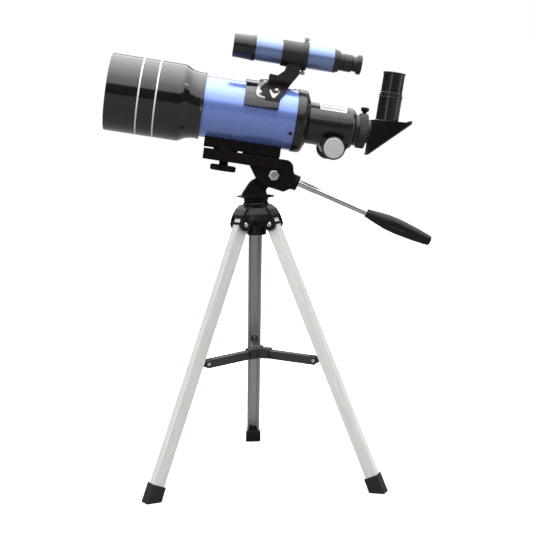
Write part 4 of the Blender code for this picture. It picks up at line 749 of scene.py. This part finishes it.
def make_shoe(m, tube):
    """The clamp on the finder's foot: a cover, rails beside the stalk, a V clip, and a silver sheet of
    painted highlight and chipped paint.
    """
    rib = curved_patch("saddle_rib", m["hood"], 38.3, 0.5, -14.0, 4.0, 35.0, 36.6, tube)
    stands_for(bevelled(rib, 0.25, 3), *GLOSS)
    stands_for(draped("finder_shoe_cover", m["head"], [
        (0.8, 20.2), (-0.6, 24.0), (1.0, 29.5), (4.5, 33.6), (7.0, 37.0), (9.0, 39.6), (36.4, 39.6),
        (25.4, 22.2), (25.0, 16.5), (8.5, 16.5), (7.6, 18.6), (3.4, 19.6)], tube, 38.45, 38.8), *GLOSS)
    for name, middle in (("finder_rail_near", -11.3), ("finder_rail_far", 11.3)):
        stands_for(side_slab(name, m["head"], [
            (9.6, 35.2), (10.2, 41.2), (11.0, 42.0), (36.4, 42.0), (37.0, 41.2), (33.4, 35.2)], 2.4,
            tube, middle, bevel=0.4), *GLOSS)
    # Painted highlight and chipped paint: this silver toothed sheet on the left of the shoe cover
    # stands for light glancing off the black moulding there, and for its chips.
    stands_for(draped("finder_shoe_painted_highlight_and_chips", m["spring"], [
        (-1.5, 35.1), (-2.2, 29.5), (-2.9, 24.0), (-2.0, 20.7), (1.5, 19.0), (7.3, 18.5), (8.2, 19.8),
        (4.1, 20.8), (0.9, 21.6), (0.6, 23.7), (3.9, 24.7), (0.5, 29.1), (4.0, 33.3), (6.2, 35.7),
        (8.0, 37.3), (9.4, 39.6), (7.2, 39.6), (3.6, 37.4), (1.5, 39.6), (-0.8, 39.6)], tube), *ZINC)
    stands_for(side_slab("finder_spring_hook", m["spring"], [
        (-1.0, 37.5), (0.1, 40.2), (8.1, 41.4), (10.4, 41.1), (10.0, 39.1), (7.5, 38.6), (8.6, 40.0),
        (4.4, 39.2), (4.2, 37.9), (3.0, 37.5)], 0.7, tube, -9.6, bevel=0.15), *ZINC)
    stands_for(draped("finder_clamp_clip", m["spring"], [
        (11.9, 30.0), (12.6, 26.5), (14.3, 23.3), (15.9, 20.5), (17.7, 20.0), (19.2, 21.5),
        (21.4, 24.7),
        (23.2, 27.9), (23.3, 29.7), (21.3, 26.3), (17.9, 25.5), (15.3, 26.6), (13.4, 29.5)], tube,
        38.7, 39.5), *ZINC)
    seat = moved(turned_about(tube, 'X', 39.0), 20.3, 0, 38.8)
    stands_for(lathe("finder_clamp_recess", m["gloss"], [
        (3.0, 0.5, 0.2), (4.0, 0.2, 0.2), (4.0, -0.4), (3.0, -0.4)], seat, 48, radius=0.1), *GLOSS)
    screw_head("finder_clamp_screw", m["steel"], 2.3, 1.8, seat, *ZINC)


# ---------------------------------------------------------------- tube foot, tilt head and handle

def make_tube_foot(m, tube):
    foot = block("tube_foot_moulding", m["head"], (-53.0, -12.5, -45.0), (36.0, 12.5, -29.0), tube)
    pads = [bar("pad", None, 14.2, -46.55, -44.0, moved(tube, PLATFORM_SCREW_S), 64),
            block("rear_pad", None, (-7.0, -12.0, -46.55), (35.5, 12.0, -44.0), tube)]
    shaped(foot, pads, 'UNION')
    shaped(foot, [bar("saddle", None, 35.3, -63.0, 46.0, tube @ ALONG_X, 160),
                  bar("thread", None, 3.4, -48.3, -39.5, moved(tube, PLATFORM_SCREW_S), 32)])
    moulded(foot, 0.42, 2)
    stands_for(foot, *GLOSS, "tube_foot")


def make_tilt_head(m, tube, handle):
    s, h = PIVOT
    top, bottom = -46.6, -59.0
    head = block("tilt_head_moulding", m["head"], (-52.2, -15.0, bottom), (40.0, 15.0, top), tube)
    cheeks = side_slab("cheeks", None, rounded([
        (-10.0, top), (-10.0, bottom + 0.5), (3.0, bottom + 0.5, 3.0), (s - 19.9, h - 6.0, 2.0),
        (s - 7.5, h - 13.8, 3.0), (s + 14.0, h - 17.2, 2.0), (s + 16.0, h - 16.0, 1.0),
        (s + 20.5, h - 13.0, 1.0), (s + 24.5, h - 13.0, 1.0), (s + 24.5, h + 3.0, 1.0),
        (s + 22.2, h + 8.0, 3.0), (s + 21.0, h + 14.0, 3.0), (s + 18.0, h + 18.0, 4.0),
        (s + 14.5, top)], 0.0), 11.5, tube)
    collar = lathe("collar", None, [
        (0, -1.0), (8.9, -1.0, 0.5), (9.1, -12.0), (0, -12.0)], moved(handle, 0, 0, -1.2) @ ALONG_X, 64,
        closed=False)
    shaped(head, [cheeks, collar], 'UNION')
    under = top - 3.4
    shaped(head, [
        block("screw_room", None, (-49.2, -12.2, -70.0), (-5.0, 12.2, under), tube),
        block("slot", None, (-7.0, -6.0, h - 30), (s + 11.7, 6.0, under + 0.2), tube),
        bar("screw_hole", None, 3.5, under - 5, top + 5, moved(tube, PLATFORM_SCREW_S)),
        bar("bolt_hole", None, 3.3, -30.0, 30.0, moved(tube, s, 0, h) @ SIDEWAYS),
        bar("rod_hole", None, 4.2, -10.0, 20.0, handle @ ALONG_X)])
    moulded(head, 0.42, 1)
    stands_for(head, *GLOSS, "tilt_head")
    boss = moved(tube, s - 7.5, -11.3, h + 17.0) @ SIDEWAYS
    stands_for(lathe("tilt_head_boss", m["head"],
            [(0, 1.3), (3.6, 1.3, 0.6), (4.4, 0.6, 0.5), (4.6, -0.5), (0, -0.5)],
                boss, 64, closed=False), *GLOSS)


def make_tilt_bolt(m, tube):
    s, h = PIVOT
    place = moved(tube, s, 0, h) @ SIDEWAYS
    bolt = bar("tilt_bolt_set", m["steel"], 3.0, -15.0, 12.4, place)
    hexagon = [(6.4 * math.cos(math.radians(60 * i + 12)), 6.4 * math.sin(math.radians(60 * i + 12)))
               for i in range(6)]
    head = slab("head", m["steel"], hexagon, 11.8, 15.4, place, bevel=0.5)
    nut = slab("nut", m["steel"], hexagon, -15.6, -11.8, place, bevel=0.5)
    shaped(head, [bar("socket", None, 2.4, 13.6, 17.0, place, 6)])
    shaped(bolt, [head, nut], 'UNION')
    crease(bolt, 30)
    stands_for(bolt, "pan_head", "zinc_steel", "tilt_bolt")


def make_platform_screw(m, tube):
    stands_for(lathe("platform_thumbscrew", m["head"], [
        (0, -40.0), (3.1, -40.0, 0.4), (3.1, -50.3), (5.3, -50.3, 0.2), (5.3, -63.5, 0.5),
        (13.4, -63.5, 0.5), (15.0, -64.6, 0.5), (15.0, -69.2, 0.5), (13.6, -70.2, 0.5), (0, -70.2)],
        moved(tube, PLATFORM_SCREW_S), 360, radius=0.2, closed=False,
        knurl=(60, 0.5, -69.4, -64.3, 14.3)), "platform_screw", "satin_black", "camera_screw")


def make_handle(m, handle):
    axis = handle @ ALONG_X
    stands_for(lathe("pan_handle_rod", m["chrome"], [
        (0, -9.7), (3.5, -9.7, 0.3), (3.9, -9.2, 0.3), (3.9, 97.2), (0, 97.2)], axis, 96,
        closed=False), "pan_handle", "chrome", "handle_rod")
    start, length = 87.2, 84.0
    stations = ((0.985, 6.0), (0.93, 6.8), (0.75, 8.4), (0.50, 9.6), (0.32, 9.3), (0.15, 7.2),
            (0.03, 5.6))
    profile = [(0, start + length), (5.6, start + length, 0.5)]
    profile += [(radius, start + length * share, 4.0) for share, radius in stations]
    profile += [(5.0, start, 0.5), (4.2, start, 0.3), (4.2, 97.5), (0, 97.5)]
    grip = lathe("pan_handle_grip", m["grip"], profile, axis, 128, radius=0.3, closed=False)
    pocket = side_slab("pocket", None, rounded([
        (118.0, -3.2), (150.0, -2.6), (150.0, 2.6), (118.0, 3.2)], 2.4), 2.0, handle, middle=-10.2)
    shaped(grip, [pocket])
    moulded(grip, 0.30, 3)
    stands_for(grip, "pan_handle", "gloss_black", "handle_grip")


# ---------------------------------------------------------------- pan base and crown

def make_pan_base(m, stand, tube):
    top, bottom = 338.9, 332.3
    radius = 22.6
    base = lathe("pan_base_moulding", m["head"], [
        (0, top + 1.2), (15.0, top + 1.2), (radius - 2.0, top + 0.2), (radius - 0.3, top, 0.3),
        (radius, top - 0.6, 0.3), (radius - 0.2, top - 1.3, 0.3), (19.0, top - 1.9, 1.0),
        (15.0, top - 2.7, 0.8), (14.0, bottom), (0, bottom)], stand, 128, closed=False)
    pivot = stand.inverted() @ moved(tube, PIVOT[0], 0, PIVOT[1]).translation / MM
    foot = top - 0.8
    outline = [(-17.2, foot), (-15.2, top + 3.6, 3.0), (-10.5, top + 10.6, 4.0),
            (-7.3, top + 15.0, 3.0), (-4.0, top + 18.0, 2.0), (0.0, top + 20.4, 1.0)]
    outline += arc((pivot.x, pivot.z), 9.5, 128, -62, 20)
    outline += [(13.6, top + 9.0, 2.0), (11.8, top + 6.2, 3.0), (12.6, top + 2.4, 2.0), (13.8, foot)]
    tower = side_slab("tower", None, rounded(outline, 0.0), 10.5, stand)
    seat = moved(stand, pivot.x, 0, pivot.z) @ SIDEWAYS
    shaped(tower,
            [bar("near", None, 23.6, 5.5, 30.0, seat, 96),
            bar("far", None, 23.6, -30.0, -5.5, seat, 96), bar("bolt", None, 3.3, -20.0, 20.0, seat)])
    shaped(base, [tower], 'UNION')
    shaped(base, [bar("pan_bolt_room", None, 3.3, bottom - 2, top + 6.0, stand)])
    moulded(base, 0.36, 2)
    stands_for(base, "pan_head", "gloss_black", "pan_base")


def leg_point(x, z):
    c, d = math.cos(LEG_SPLAY), math.sin(LEG_SPLAY)
    return (LEG_PIVOT_RADIUS + x * c - z * d, LEG_PIVOT_HEIGHT + x * d + z * c)


def make_crown(m, places):
    stand = places["stand"]
    top, pivot = CROWN_TOP, LEG_PIVOT_HEIGHT
    crown = lathe("crown_moulding", m["crown"], [
        (14.0, top, 0.4), (14.6, top - 0.6, 0.4), (15.4, top - 2.8, 1.5), (20.5, top - 6.8, 4.0),
        (24.4, pivot + 12.0, 4.0), (25.8, pivot + 5.5, 3.0), (25.7, pivot + 4.0), (24.0, pivot + 3.4),
        (12.0, pivot + 3.2), (11.7, BOSS_BOTTOM + 0.8), (10.9, BOSS_BOTTOM), (8.5, BOSS_BOTTOM),
        (8.5, 299.5), (3.4, 299.5), (3.4, top)], stand, 160, radius=0.2)
    centre = (LEG_PIVOT_RADIUS, pivot)
    lobe = [(6.0, top - 3.0), (15.5, top - 3.2, 5.0), (21.5, top - 7.8, 7.0), (26.0, top - 14.5, 6.0),
            (28.4, pivot + 5.0, 1.0)]
    lobe += arc(centre, 7.6, 30, -150, 20)
    lobe += [(6.0, pivot - 3.0)]
    half_depth = 6.85
    corner = math.atan2(5.85, half_depth)
    start = math.degrees(LEG_SPLAY + corner)
    folded = half_depth / math.cos(math.radians(10.0))
    middle = LEG_SPLAY - math.radians(10.0)
    slot = [leg_point(half_depth, 8.5)] + arc(centre, math.hypot(half_depth, 5.85), start,
            start - 20.0, 4)
    slot += [(centre[0] + folded * math.cos(middle), pivot + folded * math.sin(middle)),
             leg_point(half_depth, -25.0), (13.3, BOSS_BOTTOM - 10.0), (13.3, pivot + 6.0),
             (16.5, leg_point(half_depth, 8.5)[1])]
    shaped(crown, [side_slab("lobe_" + side, None, rounded(lobe, 0.0), 11.6, places[side])
                   for side in SIDES], 'UNION')
    cutters = []
    for side in SIDES:
        cutters.append(side_slab("slot_" + side, None, slot, 8.85, places[side]))
        cutters.append(bar("pin_hole_" + side, None, PIN_HOLE_RADIUS, -20.0, 20.0,
                           moved(places[side], LEG_PIVOT_RADIUS, 0, pivot) @ SIDEWAYS, 24))
    shaped(crown, cutters)
    moulded(crown, 0.40, 4)
    stands_for(crown, "tripod_head", "gloss_black", "crown")
    for number, side in enumerate(SIDES, start=1):
        place = moved(places[side], LEG_PIVOT_RADIUS, 0, pivot) @ SIDEWAYS
        rise = [(0, 13.0), (1.7, 13.0, 0.3), (2.9, 12.3, 0.3), (2.9, 11.9), (2.0, 11.9)]
        profile = rise + [(p[0], -p[1]) for p in reversed(rise)]
        pin = lathe("leg_pivot_pin_%d" % number, m["steel"], profile, place, 64, radius=0.15,
                closed=False)
        shaped(pin, [block("slot_high", None, (-3.2, -0.35, 12.5), (3.2, 0.35, 14.0), place),
                     block("slot_low", None, (-3.2, -0.35, -14.0), (3.2, 0.35, -12.5), place)])
        crease(pin)
        stands_for(pin, "tripod_head", "zinc_steel", "leg_pin_%d" % number)


# ---------------------------------------------------------------- legs and spreader

def leg_section():
    """The leg's trough section: a ribbed outer face, sloping sides and an open inner side."""
    out, wide, narrow = 6.5, 8.5, 5.3
    groove = []
    for middle in (-2.6, 0.0, 2.6):
        groove += [(out, middle - 0.45, 0.1), (out - 0.22, middle, 0.1), (out, middle + 0.45, 0.1)]
    wall = 1.2
    return [(out, -narrow, 1.0)] + groove + [
        (out, narrow, 1.0), (-out + 1.0, wide - 0.2, 0.5), (-out, wide, 0.4), (-out, wide - wall, 0.3),
        (out - wall, narrow - wall, 0.6), (out - wall, wall - narrow, 0.6), (-out, wall - wide, 0.3),
        (-out, -wide, 0.4), (-out + 1.0, -wide + 0.2, 0.5)]


def sole_level(x):
    return -(LEG_PIVOT_HEIGHT + x * math.sin(LEG_SPLAY)) / math.cos(LEG_SPLAY)


def make_legs(m, places):
    length = -sole_level(0.0)
    cap_top = -length + 20.0
    for number, side in enumerate(SIDES, start=1):
        place = places[side + "_leg"]
        leg = slab(side + "_leg_channel", m["aluminium"], rounded(leg_section(), 0.3), -length + 6.2,
                5.5, place)
        shaped(leg, [bar("pin_hole", None, PIN_HOLE_RADIUS, -20.0, 20.0, place @ SIDEWAYS, 24)])
        crease(leg, 25)
        stands_for(leg, side + "_leg", "satin_aluminium", "leg_%d" % number)
        out, wide, narrow = 8.2, 10.2, 7.0
        section = rounded([(out, -narrow, 1.6), (out, narrow, 1.6), (-out, wide, 1.2),
                (-out, -wide, 1.2)], 1.0)
        foot = slab(side + "_rubber_foot", m["rubber"], section, -length, cap_top, place)
        for vertex in foot.data.vertices:
            if vertex.co.z < (cap_top - length) / 2 * MM:
                vertex.co.z = sole_level(vertex.co.x / MM) * MM
        socket_out, socket_wide, socket_narrow = 6.8, 8.8, 5.6
        inner_wall = 1.8
        shaped(foot, [slab("socket", None, [
            (socket_out, -socket_narrow), (socket_out, socket_narrow), (-socket_out, socket_wide),
            (-socket_out, socket_wide - inner_wall),
            (socket_out - inner_wall, socket_narrow - inner_wall),
            (socket_out - inner_wall, inner_wall - socket_narrow),
            (-socket_out, inner_wall - socket_wide),
            (-socket_out, -socket_wide)], -length + 5.9, cap_top + 5.0, place)])
        moulded(foot, 0.30, 2)
        stands_for(foot, side + "_leg", "rubber", "leg_foot_%d" % number)


def make_spreader(m, places):
    hub = moved(places["stand"], 0, 0, HUB_HEIGHT)
    post = lathe("spreader_hub_knob", m["enamel"], [
        (0, 9.5), (4.3, 9.5, 0.6), (5.5, 8.3, 0.6), (5.5, -5.0), (0, -5.0)], hub, 96, closed=False)
    yokes, slots = [], []
    for side in SIDES:
        place = moved(places[side], 0, 0, HUB_HEIGHT)
        yokes.append(side_slab("yoke_" + side, None, rounded([
            (0.0, 6.8), (0.0, -5.0), (13.6, -5.0, 1.0), (15.1, -3.0, 1.0), (15.1, 6.8, 1.2)], 0.0),
            6.4, place))
        slots.append(block("slot_" + side, None, (5.8, -4.9, -20.0), (30.0, 4.9, 5.3), place))
    shaped(post, yokes, 'UNION')
    shaped(post, slots)
    moulded(post, 0.26, 2)
    stands_for(post, "spreader_centre", "black_steel", "spreader_hub")
    run, drop = OUTER_PIN[0] - HUB_PIN_RADIUS, HUB_HEIGHT - OUTER_PIN[1]
    length = math.hypot(run, drop)
    depth = ((LEG_PIVOT_RADIUS - OUTER_PIN[0]) * math.cos(LEG_SPLAY)
             + (LEG_PIVOT_HEIGHT - OUTER_PIN[1]) * math.sin(LEG_SPLAY))
    reach = depth - 6.5 - 0.5 - 1.4
    for number, side in enumerate(SIDES, start=1):
        place = places[side + "_arm"]
        outline = arc((0, 0), 5.0, 90, 270, 16) + arc((length, 0), 5.0, -90, 90, 16)
        arm = side_slab(side + "_spreader_channel", m["enamel"], outline, 4.6, place, bevel=0.4)
        shaped(arm, [block("room", None, (-10.0, -3.3, -10.0), (length + 10, 3.3, 3.7), place),
                     block("end_room", None, (length - 5.5, -3.3, -10.0), (length + 10, 3.3, 10.0),
                     place)])
        crease(arm)
        stands_for(arm, side + "_arm", "black_steel", "spreader_arm_%d" % number)
        for end, distance in (("inner", 0.0), ("outer", length)):
            for half, turn in (("near", 1), ("far", -1)):
                seat = turned_about(moved(place, distance, -4.6 * turn, 0), 'X', 90 * turn)
                stands_for(lathe("%s_%s_%s_rivet" % (side, end, half), m["steel"], [
                    (0, 0.25), (1.2, 0.22, 0.1), (1.9, 0.05), (1.9, -0.3), (0, -0.3)], seat, 40,
                    radius=0.1, closed=False), side + "_arm", "zinc_steel")
        pin = bar(side + "_outer_pin", m["steel"], 1.6, -3.2, 3.2, moved(place, length) @ SIDEWAYS)
        stands_for(pin, side + "_arm", "zinc_steel")
        seat = places[side + "_bracket"]
        strip = block(side + "_bracket_strip", m["enamel"], (reach, -4.4, -18.5),
                (reach + 1.4, 4.4, 7.0), seat, bevel=0.4)
        tongue_outline = arc((0, 0), 3.2, 90, 270, 14) + [(reach + 0.5, -4.2), (reach + 0.5, 4.2)]
        tongue = side_slab("tongue", None, tongue_outline, 2.9, seat)
        shaped(strip, [tongue], 'UNION')
        shaped(strip, [bar("eye", None, 1.75, -10, 10, seat @ SIDEWAYS, 32)])
        crease(strip)
        stands_for(strip, side + "_bracket", "black_steel", "leg_bracket_%d" % number)
        for level in (-14.0, 4.2):
            face = turned_about(moved(seat, reach, 0, level), 'Y', -90)
            stands_for(lathe("%s_bracket_rivet_%d" % (side, 1 if level > 0 else 2), m["steel"], [
                (0, 0.7), (0.9, 0.62, 0.2), (1.7, 0.1), (1.7, -0.4), (0, -0.4)], face, 40, radius=0.15,
                closed=False), side + "_bracket", "zinc_steel")


# ---------------------------------------------------------------- CAD pieces that stay

def finish_cad_nodes(frame, m):
    """The small hidden fastenings keep their CAD shape and take a finish."""
    for node, key, edge in (("rack", "satin", 0.10), ("pinion_shaft", "steel", 0.10),
                            ("pan_bolt", "steel", 0.25), ("pan_nut", "steel", 0.4)):
        obj = frame["nodes"][node]
        obj.data.materials.clear()
        obj.data.materials.append(m[key])
        add_bevel(obj, edge, 2)


# ---------------------------------------------------------------- stage

CAMERA_OFFSET = (-0.0553, -1.2179, 0.4079)
CAMERA_YAW = math.radians(3.12)
CAMERA_PITCH = math.radians(7.15)
CAMERA_ROLL = math.radians(-1.00)
CAMERA_LENS = 70.2


def make_camera(stand):
    forward = Vector((math.sin(CAMERA_YAW) * math.cos(CAMERA_PITCH),
                      math.cos(CAMERA_YAW) * math.cos(CAMERA_PITCH), -math.sin(CAMERA_PITCH)))
    right = Vector((math.cos(CAMERA_YAW), -math.sin(CAMERA_YAW), 0))
    up = right.cross(forward)
    c, s = math.cos(CAMERA_ROLL), math.sin(CAMERA_ROLL)
    data = bpy.data.cameras.new("camera")
    data.lens = CAMERA_LENS
    camera = bpy.data.objects.new("camera", data)
    bpy.context.scene.collection.objects.link(camera)
    level = right * c + up * s
    camera.matrix_world = basis(stand.translation + Vector(CAMERA_OFFSET), level, -forward)
    bpy.context.scene.camera = camera


def make_strip(name, azimuth, radiance, stand):
    """A tall narrow lamp beside the camera, the azimuth in degrees to the right of the front."""
    width, height, distance = 0.14, 1.5, 1.6
    data = bpy.data.lights.new(name, 'AREA')
    data.shape = 'RECTANGLE'
    data.size, data.size_y = width, height
    data.energy = radiance * math.pi * width * height
    lamp = bpy.data.objects.new(name, data)
    bpy.context.scene.collection.objects.link(lamp)
    angle = math.radians(azimuth)
    away = Vector((math.sin(angle), -math.cos(angle), 0))
    lamp.matrix_world = basis(stand.translation + away * distance + Vector((0, 0, 0.85)),
                              Vector((0, 0, 1)).cross(away), away)
    lamp.visible_camera = False


def make_stage(stand):
    """A white floor under a bright dome that starts some way above a dark horizon, and two lamps."""
    shape = bmesh.new()
    bmesh.ops.create_grid(shape, x_segments=8, y_segments=8, size=1.0 / MM * 6.0)
    paint = finish("pale_floor", (0.78, 0.78, 0.78), (0.80, 0.80, 0.80), (0.6, 0.7), 8.0, specular=0.1)
    floor = new_object("floor", shape, Matrix.Identity(4), paint)
    nodes, links = paint.node_tree.nodes, paint.node_tree.links
    seen = nodes.new("ShaderNodeLightPath")
    dim = nodes.new("ShaderNodeMapRange")
    dim.inputs["To Min"].default_value, dim.inputs["To Max"].default_value = 0.22, 1.0
    links.new(seen.outputs["Is Camera Ray"], dim.inputs["Value"])
    tone = nodes.new("ShaderNodeVectorMath")
    tone.operation = 'SCALE'
    colour = paint.node_tree.nodes["Principled BSDF"].inputs["Base Color"]
    links.new(colour.links[0].from_socket, tone.inputs[0])
    links.new(dim.outputs["Result"], tone.inputs["Scale"])
    links.new(tone.outputs["Vector"], colour)
    world = bpy.data.worlds.new("studio")
    bpy.context.scene.world = world
    world.use_nodes = True
    nodes, links = world.node_tree.nodes, world.node_tree.links
    background = nodes["Background"]
    place = nodes.new("ShaderNodeTexCoord")
    split = nodes.new("ShaderNodeSeparateXYZ")
    links.new(place.outputs["Generated"], split.inputs["Vector"])
    ramp = nodes.new("ShaderNodeValToRGB")
    ramp.color_ramp.interpolation = 'LINEAR'
    brightest = 6.5
    stops = ((0.0, 0.10), (0.40, 0.13), (0.435, 2.4), (0.75, 3.6), (1.0, brightest))
    elements = ramp.color_ramp.elements
    while len(elements) < len(stops):
        elements.new(0.5)
    for element, (position, value) in zip(elements, stops):
        element.position = position
        element.color = (*([value / brightest] * 3), 1)
    links.new(split.outputs["Z"], ramp.inputs["Fac"])
    light = nodes.new("ShaderNodeVectorMath")
    light.operation = 'SCALE'
    light.inputs["Scale"].default_value = brightest
    links.new(ramp.outputs["Color"], light.inputs[0])
    seen = nodes.new("ShaderNodeLightPath")
    choose = nodes.new("ShaderNodeMix")
    choose.data_type = 'RGBA'
    links.new(seen.outputs["Is Camera Ray"], choose.inputs["Factor"])
    links.new(light.outputs["Vector"], choose.inputs["A"])
    choose.inputs["B"].default_value = (1, 1, 1, 1)
    links.new(choose.outputs["Result"], background.inputs["Color"])
    background.inputs["Strength"].default_value = 1.0
    make_strip("left_strip", -26.0, 7.0, stand)
    make_strip("right_strip", 78.0, 7.0, stand)


# ---------------------------------------------------------------- assembly

def main():
    for obj in list(bpy.data.objects):
        bpy.data.objects.remove(obj, do_unlink=True)
    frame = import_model()
    places = make_frames(frame["joints"])
    tube, handle = places["tube"], places["handle"]
    m = make_materials()
    make_camera(places["stand"])
    make_stage(places["stand"])
    for make in (make_tube, make_objective, make_rear_cell, make_focuser, make_drawtube, make_knobs,
                 make_diagonal, make_eyepiece, make_finder, make_finder_bracket, make_tube_foot):
        make(m, tube)
    make_tilt_head(m, tube, handle)
    make_tilt_bolt(m, tube)
    make_platform_screw(m, tube)
    make_handle(m, handle)
    make_pan_base(m, places["stand"], tube)
    make_crown(m, places)
    make_legs(m, places)
    make_spreader(m, places)
    finish_cad_nodes(frame, m)
    bpy.context.scene.view_settings.view_transform = 'Standard'


main()
